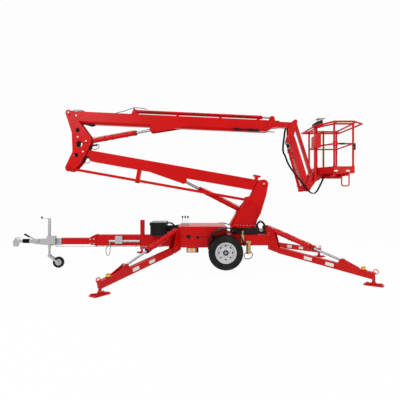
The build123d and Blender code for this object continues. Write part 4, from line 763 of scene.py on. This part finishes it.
class LIFT_OT_fasteners(bpy.types.Operator):
    """Bolts, pin keepers and pin ends on the structure, and the slew ring's bolts"""

    bl_idname = "lift.fasteners"
    bl_label = "Fasteners"

    def execute(self, context):
        sizes = context.scene.lift_sizes
        bolts = bolt_tree()
        heads = {}
        keepers = {}

        def keeper(body, pin, tilt):
            """A retaining plate beside a pin, held by two bolts."""
            along = Vector((math.cos(tilt), 0.0, math.sin(tilt)))
            up = Vector((-math.sin(tilt), 0.0, math.cos(tilt)))
            for sign in SIDES:
                shape = keepers.setdefault(body, Shape())
                centre = pin + along * 0.036 + across(sign * (CHEEK_FACE + 0.004))
                shape.plate(centre, along, up, [
                    (-0.010, -0.034), (0.012, -0.040), (0.018, -0.034), (0.018, 0.034), (0.012, 0.040),
                    (-0.010, 0.034),
                ], 0.007)
                for lift in (-0.024, 0.024):
                    heads.setdefault(body, []).append((
                        centre + along * 0.005 + up * lift + across(sign * 0.004), (0.0, sign, 0.0)))

        for body, pin, tilt in (
            ("turntable", BOOM_PIVOT, -60), ("turntable", TOWER_LINK_PIN, -35), ("turntable", LIFT_BASE, 15),
            ("knuckle_body", KNUCKLE_PIN, 40), ("knuckle_body", KNUCKLE_LINK_PIN, 30),
            ("knuckle_body", UPPER_PIVOT, -70), ("knuckle_body", UPPER_LIFT_BASE, -100),
        ):
            keeper(body, pin, math.radians(tilt))
        for body, shape in keepers.items():
            shape.piece("pin_keepers_" + body, "red", body, 0.001)
        pin_reach = 0.128
        plug_reach = 0.1195
        for body, pins in (
            ("knuckle_body", (
                (UPPER_PIVOT, pin_reach), (UPPER_LIFT_BASE, pin_reach), (KNUCKLE_PIN, pin_reach),
                (KNUCKLE_PIN + Vector((-0.144, 0.0, 0.749)), plug_reach),
                (KNUCKLE_PIN + Vector((-0.115, 0.0, 0.307)), plug_reach))),
            ("turntable", ((BOOM_PIVOT, pin_reach),)),
        ):
            ends = Shape()
            for pin, reach in pins:
                for sign in SIDES:
                    ends.turned(pin + across(sign * (reach - 0.004)), (0, sign, 0), [
                        (0.0, 0.0), (0.0, 0.018), (0.004, 0.018), (0.0055, 0.015), (0.0055, 0.0)], 24)
            ends.piece("pin_ends_" + body, "zinc", body)
        rings = {"turntable": [], "chassis": []}
        slew_top = Vector((SLEW_X, 0.0, 0.9275))
        slew_side = Vector((SLEW_X, 0.0, 0.79))
        worm_drive_from = -0.55
        for spot in range(sizes.slew_bolts):
            direction = around(2 * math.pi * (spot + 0.5) / sizes.slew_bolts)
            rings["turntable"].append((slew_top + direction * 0.263, UP))
            direction = around(2 * math.pi * spot / sizes.slew_bolts)
            if direction.y >= worm_drive_from:
                rings["chassis"].append((slew_side + direction * 0.290, direction))
        for body in ("inner_boom_body", "upper_boom_body", "lower_boom_body", "chassis"):
            heads.setdefault(body, [])
        for sign in SIDES:
            for along, out in ((4.20, -0.01), (4.262, -0.065), (4.33, -0.01)):
                heads["inner_boom_body"].append((on_upper(along, out, sign * 0.1005), (0, sign, 0)))
            for along, out in ((4.115, -0.02), (4.115, -0.11)):
                heads["upper_boom_body"].append((on_upper(along, out, sign * 0.1055), (0, sign, 0)))
            for along, out in ((0.30, -0.02), (0.30, -0.12), (3.42, -0.02), (3.42, -0.12)):
                heads["lower_boom_body"].append((on_lower(along, out, sign * 0.0755), (0, sign, 0)))
            for x, z in ((1.06, 0.96), (1.26, 1.31)):
                heads["turntable"].append((Vector((x, sign * 0.1705, z)), (0, sign, 0)))
        for _, hinge, out, side in leg_frames():
            for sign in SIDES:
                for along, lift in ((-0.12, 0.30), (-0.06, 0.02), (-0.12, 0.12)):
                    heads["chassis"].append((
                        hinge + out * along + UP * lift + side * sign * 0.0625, side * sign))
        for kind, group, finish in (("bolts_", heads, "red"), ("slew_bolts_", rings, "zinc")):
            for body, spots in group.items():
                grown(kind + body, bolts, spots_mesh("bolt_spots", spots), {
                    "Head Radius": sizes.bolt, "Head Height": 0.009, "Washer Radius": sizes.bolt * 1.4,
                }, finish, body)
        return {"FINISHED"}


class LIFT_OT_cylinders(bpy.types.Operator):
    """Wiper rings, pipes and pipe clamps of the hydraulic cylinders"""

    bl_idname = "lift.cylinders"
    bl_label = "Cylinders"

    def execute(self, context):
        lower_pin = on_lower(1.647, -0.232)
        upper_pin = on_upper(1.758, -0.258)
        # Body, base pin, rod pin, barrel length, barrel radius, rod radius and sideways direction
        rams = [
            ("lower_barrel_body", LIFT_BASE, lower_pin, 1.06, 0.055, 0.029, Vector((0, 1, 0))),
            ("upper_barrel_body", UPPER_LIFT_BASE, upper_pin, 1.04, 0.055, 0.029, Vector((0, 1, 0))),
            ("jib_barrel_body", JIB_RAM_FOOT, JIB_RAM_TOP, 0.90, 0.036, 0.017, Vector((0, 1, 0))),
        ]
        for corner, hinge, out, side in leg_frames():
            base = hinge + out * -0.110 + UP * 0.380
            tip = hinge + out * 1.220 - UP * 0.098
            rams.append(("leg_barrel_" + corner, base, tip, 0.86, 0.051, 0.022, side))
        for body, base, tip, length, outer, rod, side in rams:
            axis = (tip - base).normalized()
            ring = Shape()
            ring.turned(base + axis * (length - 0.002), axis, [
                (0.0, outer * 0.9), (0.010, outer * 0.9), (0.014, outer * 0.78), (0.016, rod + 0.0035),
                (0.0, rod + 0.0035), (0.0, outer * 0.9),
            ], 36)
            for spot in (length - 0.040, length - 0.050):
                ring.turned(base + axis * spot, axis, ring_profile(outer - 0.004, outer + 0.001, 0.004), 36)
            ring.piece("wiper_ring_" + body, "rubber", body)
            pipe = Shape()
            over = axis.cross(side).normalized()
            if over.z < 0:
                over = -over
            lift = over * (outer + 0.006)
            pipe.bent_pipe([
                base + axis * 0.10 + lift * 0.9, base + axis * 0.14 + lift * 1.12, base + axis * 0.3 + lift,
                base + axis * (length - 0.18) + lift, base + axis * (length - 0.12) + lift * 1.1,
                base + axis * (length - 0.075) + lift * 0.95,
            ], 0.006, 10)
            for spot in (0.36, length * 0.5, length - 0.22):
                pipe.turned(base + axis * spot, axis, ring_profile(outer - 0.006, outer + 0.003, 0.022))
            pipe.piece("ram_pipe_" + body, "red", body)
        gland = Shape()
        way = (JIB_RAM_FOOT - JIB_RAM_TOP).normalized()
        gland.turned(JIB_RAM_TOP + way * 0.030, way, [
            (0.0, 0.019), (0.0, 0.026), (0.012, 0.029), (0.070, 0.029), (0.082, 0.024), (0.082, 0.019),
            (0.0, 0.019)])
        gland.piece("jib_rod_gland", "rubber", "jib_rod_body")
        return {"FINISHED"}


class LIFT_OT_booms(bpy.types.Operator):
    """Pads, held hoses, pipes and collar plates on the booms"""

    bl_idname = "lift.booms"
    bl_label = "Boom Fittings"

    def execute(self, context):
        pads = Shape()
        pads.plate(on_lower(0.156, 0.154), LOWER_ALONG, LOWER_UP, [
            (-0.078, -0.006), (0.078, -0.006), (0.074, 0.004), (-0.074, 0.004)], 0.112)
        for sign in SIDES:
            pads.plate(on_lower(2.612, -0.424, sign * 0.0625), LOWER_ALONG, LOWER_UP,
                       rectangle(0.036, 0.020), 0.004)
        pads.piece("boom_pads", "rubber", "lower_boom_body", 0.002)

        run = Shape()
        for shift, drop, sway in ((-0.112, -0.176, 0.0), (-0.104, -0.190, 1.6), (-0.114, -0.197, 3.1)):
            run.bent_pipe([
                on_upper(3.44 + 0.09 * spot, drop + 0.009 * math.sin(1.9 * spot + sway), shift)
                for spot in range(7)], 0.010, 10)
        for along in (3.50, 3.74, 3.93):
            run.plate(on_upper(along, -0.180, -0.108), UPPER_ALONG, UPPER_UP, rectangle(0.009, 0.026), 0.028)
        run.piece("boom_end_hoses", "plastic", "upper_boom_body")
        guide = Shape()
        guide_y = -0.088
        guide.pipe([on_upper(along, out, guide_y) for along, out in (
            (3.98, -0.205), (4.16, -0.207), (4.30, -0.203))], 0.011, 14)
        guide.plate(on_upper(4.17, -0.190, guide_y), UPPER_ALONG, UPPER_UP, rectangle(0.022, 0.026), 0.010)
        guide.piece("hose_guide_bar", "grey", "inner_boom_body")

        pipe = Shape()
        pipe.bent_pipe([
            on_upper(1.43, 0.05, -0.046), on_upper(1.50, 0.085, -0.046), on_upper(1.62, 0.100, -0.046),
            on_upper(2.6, 0.100, -0.046), on_upper(3.9, 0.100, -0.046), on_upper(4.02, 0.092, -0.040),
        ], 0.005, 10, 6)
        pipe.piece("telescope_pipes", "plastic", "upper_boom_body")

        edge = Shape()
        for sign in SIDES:
            edge.plate(on_upper(3.42, -0.064, sign * 0.102), UPPER_ALONG, UPPER_UP,
                       rectangle(0.02, 0.094), 0.004)
        edge.piece("section_collar", "red", "upper_boom_body", 0.001)
        return {"FINISHED"}


def free_hose(name, route, diameter, body):
    """A hose that hangs free between two fixings: one open spline through the route's points."""
    curve = bpy.data.curves.new(name, "CURVE")
    curve.dimensions = "3D"
    curve.bevel_depth = diameter / 2
    curve.bevel_resolution = 4
    curve.use_fill_caps = True
    spline = curve.splines.new("NURBS")
    spline.points.add(len(route) - 1)
    for point, place in zip(spline.points, route):
        point.co = (*place, 1.0)
    spline.order_u = 3
    spline.use_endpoint_u = True
    spline.resolution_u = 8
    curve.materials.append(finishes()["rubber"])
    made = bpy.data.objects.new(name, curve)
    bpy.context.scene.collection.objects.link(made)
    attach(made, body)


class LIFT_OT_hoses(bpy.types.Operator):
    """Hydraulic hoses that hang free, and those that the structure holds"""

    bl_idname = "lift.hoses"
    bl_label = "Hoses"

    def execute(self, context):
        jib_route = [
            (2.118, 2.935), (2.098, 2.86), (2.092, 2.757), (2.072, 2.632), (2.062, 2.53), (2.070, 2.434),
            (2.107, 2.370), (2.132, 2.301), (2.160, 2.23), (2.191, 2.164), (2.251, 2.072), (2.330, 1.974),
            (2.432, 1.848), (2.515, 1.738), (2.585, 1.650), (2.645, 1.592), (2.705, 1.578), (2.757, 1.610),
            (2.800, 1.680), (2.835, 1.750), (2.866, 1.812), (2.893, 1.874), (2.905, 1.944),
        ]
        for spot, (shift, y) in enumerate(((0.0, -0.106), (0.021, -0.108), (0.010, -0.124))):
            free_hose("jib_hose_%d" % (spot + 1), [(x + shift, y, z) for x, z in jib_route], 0.019,
                      "jib_body")
        free_hose("telescope_hose", [(x, -0.032, z) for x, z in (
            (-1.430, 3.262), (-1.370, 3.287), (-1.280, 3.302), (-1.200, 3.327), (-1.120, 3.362),
            (-1.050, 3.380), (-0.960, 3.383), (-0.870, 3.376), (-0.800, 3.362), (-0.760, 3.346))],
            0.014, "upper_boom_body")
        free_hose("filter_hose", [(x, -0.452, z) for x, z in (
            (1.352, 0.430), (1.384, 0.405), (1.392, 0.355), (1.365, 0.300), (1.305, 0.278), (1.245, 0.290),
            (1.220, 0.335), (1.232, 0.385), (1.260, 0.412))], 0.016, "chassis")
        free_hose("drawbar_loop", [(x, -0.105, z) for x, z in (
            (-1.538, 0.520), (-1.570, 0.488), (-1.604, 0.440), (-1.612, 0.380), (-1.600, 0.320),
            (-1.568, 0.286), (-1.534, 0.318), (-1.520, 0.380), (-1.522, 0.440), (-1.516, 0.490),
            (-1.508, 0.520))],
            0.012, "chassis")
        held = Shape()
        for y in (-0.05, 0.05):
            held.bent_pipe([(x, y, z) for x, z in (
                (-2.20, 3.080), (-2.12, 3.060), (-2.03, 3.040), (-1.94, 3.014), (-1.86, 3.040))], 0.016)
            held.bent_pipe([(x, y, z) for x, z in (
                (-2.34, 3.290), (-2.29, 3.322), (-2.20, 3.329), (-2.12, 3.320), (-2.05, 3.290))], 0.007, 10)
        held.piece("boom_root_hoses", "rubber", "upper_boom_body")

        # Four hoses down the knuckle's cheek, then a thick pipe and a thin loop at each cylinder's root
        held = Shape()
        for shift in (-0.022, 0.0, 0.022, 0.042):
            held.bent_pipe([(x + shift, -0.092, z) for x, z in (
                (-2.16, 3.02), (-2.20, 2.90), (-2.19, 2.75), (-2.18, 2.62), (-2.21, 2.50), (-2.235, 2.38),
                (-2.20, 2.25))], 0.011, 10)
        held.bent_pipe([
            (-1.98, -0.062, 2.50), (-1.94, -0.066, 2.555), (-1.88, -0.066, 2.585), (-1.80, -0.062, 2.592),
        ], 0.018)
        held.bent_pipe([
            (-1.84, -0.070, 2.600), (-1.785, -0.076, 2.612), (-1.758, -0.080, 2.570),
            (-1.785, -0.080, 2.515), (-1.86, -0.072, 2.505), (-1.93, -0.062, 2.520),
        ], 0.007, 10)
        held.bent_pipe([
            (-2.15, -0.060, 2.225), (-2.09, -0.066, 2.285), (-2.03, -0.066, 2.325), (-1.97, -0.060, 2.345),
        ], 0.020)
        held.bent_pipe([
            (-2.03, -0.074, 2.325), (-1.965, -0.082, 2.315), (-1.948, -0.084, 2.262),
            (-1.985, -0.082, 2.215), (-2.06, -0.070, 2.230),
        ], 0.007, 10)
        held.piece("knuckle_hoses", "rubber", "knuckle_body")

        # Two loops at the slew drive and three short ones at the pump
        held = Shape()
        for shift in (0.0, 0.024):
            held.bent_pipe([
                (1.535 - shift, -0.335, 0.868), (1.510 - shift, -0.342, 0.940),
                (1.535, -0.350, 0.992 + shift), (1.590, -0.352, 1.000 + shift),
                (1.632 + shift, -0.348, 0.950), (1.628 + shift, -0.340, 0.872),
            ], 0.011)
        for y in (-0.05, 0.0, 0.05):
            held.bent_pipe([
                (-0.335, y, 0.950), (-0.290, y * 1.3, 0.965), (-0.235, y * 1.5, 0.945),
                (-0.190, y * 1.2, 0.905)], 0.010, 10)
        held.piece("chassis_hoses", "rubber", "chassis")
        drive = Shape()
        drive.turned((1.578, -0.345, 0.846), (0, -1, 0), [
            (-0.02, 0.0), (-0.02, 0.036), (0.022, 0.036), (0.027, 0.032), (0.027, 0.014), (0.034, 0.013),
            (0.034, 0.0)])
        drive.piece("slew_drive_cover", "grey", "chassis")
        return {"FINISHED"}


class LIFT_OT_legs(bpy.types.Operator):
    """Beacons and blank plates on the legs"""

    bl_idname = "lift.legs"
    bl_label = "Leg Fittings"

    def execute(self, context):
        sizes = context.scene.lift_sizes
        slope = math.tan(math.radians(9.9))
        seat_reach = 1.57
        arm_side = 0.0453
        for corner, hinge, out, side in leg_frames():
            along = Vector((out.x, out.y, -slope)).normalized()
            up = side.cross(along)
            body = "leg_" + corner
            seat = hinge + out * seat_reach + UP * (0.050 - seat_reach * slope)
            beacon = Shape()
            beacon.turned(seat, UP, [
                (0.014, 0.0), (0.014, 0.037), (0.050, 0.037), (0.062, 0.034), (0.068, 0.024), (0.070, 0.0)])
            beacon.piece("beacon_" + corner, "beacon", body)
            base = Shape()
            base.turned(seat, UP, [
                (0.002, 0.0), (0.002, 0.044), (0.012, 0.044), (0.015, 0.040), (0.015, 0.0)])
            base.piece("beacon_base_" + corner, "plastic", body)
            plates = Shape()
            for reach in (0.62, 1.02):
                for sign in SIDES:
                    plates.plate(hinge + along * reach + side * sign * arm_side, along, up,
                                 rectangle(sizes.plate / 2, 0.030), 0.001)
            plates.piece("leg_plates_" + corner, "plate", body)
        return {"FINISHED"}


class LIFT_OT_chassis(bpy.types.Operator):
    """Latches, lenses, straps, motor fins, grips and the jockey wheel's tyre"""

    bl_idname = "lift.chassis"
    bl_label = "Chassis Fittings"

    def execute(self, context):
        black = Shape()
        latch_places = (0.12, 0.62)
        for x in latch_places:
            black.block((x - 0.035, -0.487, 0.700), (x + 0.035, -0.4805, 0.760))
            black.block((x - 0.020, -0.492, 0.690), (x + 0.020, -0.486, 0.730))
        black.block((-0.088, -0.30, 0.80), (-0.0855, 0.30, 0.805))
        lever_places = (-0.020, 0.037, 0.094)
        for x in lever_places:
            black.turned((x, 0.0, 1.064), UP, [
                (0.0, 0.0), (0.0, 0.010), (0.012, 0.0175), (0.030, 0.0185), (0.044, 0.012), (0.048, 0.0)], 24)
        black.piece("latches_and_knobs", "plastic", "chassis", 0.0015)
        seam = Shape()
        seam.block((-0.086, -0.4815, 0.725), (0.886, -0.4795, 0.731))
        seam.piece("cover_seam", "rubber", "chassis")
        for kind, finish, spans in (
            ("tail_lenses", "tail", ((0.252, 0.290),)),
            ("amber_lenses", "beacon", ((0.098, 0.118), (0.158, 0.212))),
            ("white_lenses", "plate", ((0.122, 0.154), (0.216, 0.248))),
        ):
            lens = Shape()
            for sign in SIDES:
                for low, high in spans:
                    lens.plate(((low + high) / 2, sign * (COVER_SIDE + 0.002), 0.462), (1, 0, 0), UP,
                               rectangle((high - low) / 2, 0.038), 0.012)
            lens.piece(kind, finish, "chassis", 0.003, "red_paint")
        knob = Shape()
        for sign in SIDES:
            knob.turned((0.304, sign * COVER_SIDE, 0.712), (0, sign, 0), [
                (0.0, 0.0), (0.0, 0.030), (0.006, 0.030), (0.009, 0.020), (0.016, 0.018), (0.018, 0.0)], 28)
        knob.piece("cover_knobs", "plastic", "chassis")

        lid = Shape()
        lid.block((-0.672, -0.252, 0.985), (-0.348, 0.252, 0.991))
        lid.piece("battery_lid_top", "grey", "chassis", 0.003)
        strap = Shape()
        strap_places = (-0.60, -0.42)
        for x in strap_places:
            strap.block((x - 0.018, -0.2615, 0.72), (x + 0.018, -0.2585, 0.99))
            strap.block((x - 0.024, -0.266, 0.88), (x + 0.024, -0.2605, 0.925))
        strap.piece("battery_straps", "rubber", "chassis", 0.001)

        motor = Shape()
        motor_height = 0.846
        for x in (-0.338, -0.150):
            motor.turned((x, 0.0, motor_height), (1, 0, 0), [
                (-0.006, 0.0), (-0.006, 0.058), (-0.002, 0.065), (0.012, 0.065), (0.012, 0.0)], 36)
        fins = 18
        for spot in range(fins):
            angle = 2 * math.pi * spot / fins
            direction = Vector((0.0, math.cos(angle), math.sin(angle)))
            motor.plate(Vector((-0.240, 0.0, motor_height)) + direction * 0.0645, (1, 0, 0), direction,
                        rectangle(0.075, 0.004), 0.003)
        motor.piece("pump_motor_fins", "plastic", "chassis")

        boot = Shape()
        folds, fold_pitch = 9, 0.016
        profile = [(0.0, 0.028)]
        for spot in range(folds):
            profile += [(0.006 + spot * fold_pitch, 0.046), (0.014 + spot * fold_pitch, 0.034)]
        profile.append((0.152, 0.028))
        boot.turned((-3.385, 0.0, 0.580), (1, 0, 0), profile, 32)
        boot.piece("coupling_boot", "rubber", "chassis")
        grip = Shape()
        grip.turned((-3.262, -0.062, 0.698), Vector((-0.892, 0.0, 0.451)), [
            (-0.05, 0.0), (-0.05, 0.017), (-0.046, 0.019), (0.066, 0.019), (0.075, 0.014), (0.076, 0.0)], 20)
        grip.turned((-2.945, -0.095, 1.058), UP, [
            (0.0, 0.0), (0.0, 0.015), (0.040, 0.0165), (0.046, 0.010), (0.047, 0.0)], 20)
        grip.piece("hand_grips", "plastic", "chassis")
        bolts = bolt_tree()
        spots = []
        for x in (-3.18, -3.02, -2.86, -2.70):
            for sign in SIDES:
                spots.append((Vector((x, sign * 0.0485, 0.575)), (0, sign, 0)))
        for x in (-1.95, -1.875):
            for z in (0.53, 0.63):
                for sign in SIDES:
                    spots.append((Vector((x, sign * 0.0625, z)), (0, sign, 0)))
        grown("drawbar_bolts", bolts, spots_mesh("drawbar_spots", spots), {
            "Head Radius": 0.011, "Head Height": 0.01, "Washer Radius": 0.016,
        }, "zinc", "chassis")
        tyre = Shape()
        tyre.turned(JOCKEY_WHEEL - across(0.033), (0, 1, 0), [
            (0.0, 0.071), (0.0, 0.102), (0.012, 0.1143), (0.054, 0.1143), (0.066, 0.102), (0.066, 0.071),
            (0.060, 0.067), (0.006, 0.067), (0.0, 0.071),
        ], 48)
        tyre.piece("jockey_tyre", "rubber", "jockey_roller")
        disc = Shape()
        for side in SIDES:
            disc.turned(JOCKEY_WHEEL + across(side * 0.0205), (0, side, 0), [
                (0.0, 0.0), (0.0, 0.066), (0.003, 0.066), (0.003, 0.032), (0.0125, 0.029), (0.0125, 0.0)], 36)
        disc.piece("jockey_rim", "zinc", "jockey_roller")
        return {"FINISHED"}


class LIFT_OT_basket(bpy.types.Operator):
    """Floor plate, console and fittings of the basket"""

    bl_idname = "lift.basket"
    bl_label = "Basket Fittings"

    def execute(self, context):
        marks = tile_tree()
        spots = bpy.data.meshes.new("chequer_spots")
        floor_top = 1.9895
        rows, columns = 24, 13
        points = []
        for row in range(rows):
            for column in range(columns):
                x = 2.83 + row * 0.0235
                y = -0.42 + column * 0.07
                cut_corner = -0.03 - (x - 2.80) * 1.75
                if y >= cut_corner:
                    points.append((x, y, floor_top))
        spots.from_pydata(points, [], [])
        grown("chequer_floor", marks, spots, {"Mark Length": 0.030, "Mark Width": 0.006}, "red", "basket")

        panel = Shape()
        panel.plate(CONSOLE, CONSOLE_SLOPE, (0, 1, 0), rectangle(0.066, 0.098), 0.003)
        panel.piece("console_face", "grey", "basket", 0.001)
        knobs = Shape()
        face_up = CONSOLE_SLOPE.cross(across(1.0))
        for row in (-0.03, 0.012):
            for shift in (-0.07, -0.035, 0.035, 0.07):
                centre = CONSOLE + across(shift) + CONSOLE_SLOPE * row
                knobs.turned(centre, face_up, [(0.0, 0.0), (0.0, 0.009), (0.010, 0.008), (0.012, 0.0)], 16)
        knobs.piece("console_buttons", "plastic", "basket")
        stop = Shape()
        stop.turned(CONSOLE + CONSOLE_SLOPE * 0.03, face_up, [
            (0.0, 0.0), (0.0, 0.010), (0.012, 0.010), (0.013, 0.019), (0.022, 0.018), (0.025, 0.0)], 24)
        stop.piece("stop_button", "red", "basket")
        posts = ((2.790, 0.455), (3.110, 0.455), (3.400, 0.455), (3.385, -0.455), (3.010, -0.455))
        post_top = 2.975
        kick_plate_top = 2.126
        caps = Shape()
        for x, y in posts:
            caps.turned((x, y, post_top), UP, [
                (0.0, 0.0), (0.0, 0.0212), (0.008, 0.0205), (0.0125, 0.012), (0.0135, 0.0)], 20)
        caps.piece("post_caps", "red", "basket")
        foot = Shape()
        for x, y in (*posts, (2.790, -0.060)):
            foot.turned((x, y, kick_plate_top), UP, [
                (-0.012, 0.0202), (-0.012, 0.028), (0.004, 0.028), (0.010, 0.0202), (-0.012, 0.0202)], 24)
        foot.piece("post_sockets", "red", "basket")
        plates = Shape()
        for x in (3.035, 3.272):
            plates.plate((x, -0.4803, 2.030), (1, 0, 0), UP, rectangle(0.035, 0.015), 0.001)
        plates.piece("basket_plate", "plate", "basket")
        latch = Shape()
        latch.block((3.404, -0.474, 2.442), (3.430, -0.438, 2.576))
        latch.block((3.366, -0.481, 2.515), (3.412, -0.474, 2.545))
        latch.piece("gate_latch", "plastic", "basket", 0.003)
        cover = Shape()
        cover.plate((2.80, 0.0, 3.15), (1, 0, 0), UP, [
            (-0.14, -0.100), (0.0, 0.0), (0.17, 0.0), (0.17, 0.006), (-0.003, 0.006), (-0.144, -0.095)], 0.22)
        for sign in SIDES:
            cover.pipe([(2.86, sign * 0.085, 3.050), (2.86, sign * 0.085, 3.151)], 0.006, 12)
        cover.piece("console_cover", "clear", "basket", 0.001)
        grip = Shape()
        grip.turned((3.10, -0.455, 2.568), (1, 0, 0), [
            (0.0, 0.0145), (0.002, 0.0185), (0.118, 0.0185), (0.12, 0.0145), (0.0, 0.0145)], 24)
        grip.piece("gate_grip", "plastic", "gate")
        return {"FINISHED"}


class LIFT_OT_stage(bpy.types.Operator):
    """Floor, lights and camera"""

    bl_idname = "lift.stage"
    bl_label = "Stage"

    def execute(self, context):
        scene = context.scene
        backdrop = tuple(scene.lift_paint.backdrop)
        sheet = Sheet("studio_floor")
        grain = sheet.noise(30.0, 3.0)
        diffuse = sheet.node("ShaderNodeBsdfDiffuse", {}, {
            "Color": sheet.blend(grain, (0.84, 0.84, 0.84, 1.0), (0.88, 0.88, 0.88, 1.0)),
        })
        glow = sheet.node("ShaderNodeEmission", {}, {"Color": (*backdrop, 1.0), "Strength": 1.0})
        mixed = sheet.node("ShaderNodeMixShader", {}, {0: sheet.seen_rays() * 0.97, 1: diffuse, 2: glow})
        sheet.close(mixed, "ShaderNodeOutputMaterial")
        floor_half = 60
        floor_shape = bmesh.new()
        floor_shape.faces.new([
            floor_shape.verts.new((x, y, 0.0)) for x, y in rectangle(floor_half, floor_half)])
        mesh = bpy.data.meshes.new("studio_floor")
        floor_shape.to_mesh(mesh)
        floor_shape.free()
        mesh.materials.append(sheet.material)
        floor = bpy.data.objects.new("studio_floor", mesh)
        scene.collection.objects.link(floor)

        scene.world = bpy.data.worlds.new("studio")
        sky = Sheet("studio", scene.world)
        soft = sky.node("ShaderNodeBackground", {}, {"Color": (1.0, 1.0, 1.0, 1.0), "Strength": 0.44})
        white = sky.node("ShaderNodeBackground", {}, {"Color": (*backdrop, 1.0), "Strength": 0.983})
        mixed = sky.node("ShaderNodeMixShader", {}, {0: sky.seen_rays(), 1: soft, 2: white})
        sky.close(mixed, "ShaderNodeOutputWorld")

        for name, place, aim, size, power in (
            ("key", (-4.5, -7.0, 6.5), (0.0, 0.0, 1.4), 5.0, 365.0),
            ("fill", (6.0, -6.0, 3.5), (0.5, 0.0, 1.5), 5.0, 155.0),
            ("top", (0.5, 1.5, 8.0), (0.0, 0.0, 1.0), 6.0, 183.0),
        ):
            lamp = bpy.data.lights.new(name, "AREA")
            lamp.shape = "DISK"
            lamp.size = size
            lamp.energy = power
            made = bpy.data.objects.new(name, lamp)
            made.location = place
            made.rotation_euler = (Vector(aim) - Vector(place)).to_track_quat("-Z", "Y").to_euler()
            scene.collection.objects.link(made)

        lens = bpy.data.cameras.new("photo_camera")
        lens.lens = 32.2
        lens.sensor_width = 36.0
        lens.shift_y = -0.0125
        camera = bpy.data.objects.new("photo_camera", lens)
        camera.location = (0.349, -7.55, 1.55)
        camera.rotation_euler = (math.pi / 2, 0.0, 0.0)
        scene.collection.objects.link(camera)
        scene.camera = camera
        scene.view_settings.view_transform = "Standard"
        return {"FINISHED"}


STEPS = [LIFT_OT_stage, LIFT_OT_hoses, LIFT_OT_paint, LIFT_OT_wheels, LIFT_OT_fasteners, LIFT_OT_cylinders,
         LIFT_OT_booms, LIFT_OT_legs, LIFT_OT_chassis, LIFT_OT_basket]


class LIFT_PT_panel(bpy.types.Panel):
    """Lists the lift's steps"""

    bl_idname = "LIFT_PT_panel"
    bl_label = "Boom Lift"
    bl_space_type = "VIEW_3D"
    bl_region_type = "UI"
    bl_category = "Boom Lift"

    def draw(self, context):
        layout = self.layout
        for group in (context.scene.lift_paint, context.scene.lift_sizes):
            for name in group.__annotations__:
                layout.prop(group, name)
        for step in STEPS:
            layout.operator(step.bl_idname)


CLASSES = [LiftPaint, LiftSizes, *STEPS, LIFT_PT_panel]


def register():
    for kind in CLASSES:
        bpy.utils.register_class(kind)
    bpy.types.Scene.lift_paint = bpy.props.PointerProperty(type=LiftPaint)
    bpy.types.Scene.lift_sizes = bpy.props.PointerProperty(type=LiftSizes)


def unregister():
    del bpy.types.Scene.lift_sizes
    del bpy.types.Scene.lift_paint
    for kind in reversed(CLASSES):
        bpy.utils.unregister_class(kind)


def main():
    register()
    for step in STEPS:
        group, name = step.bl_idname.split(".")
        getattr(getattr(bpy.ops, group), name)()


if __name__ == "__main__":
    main()
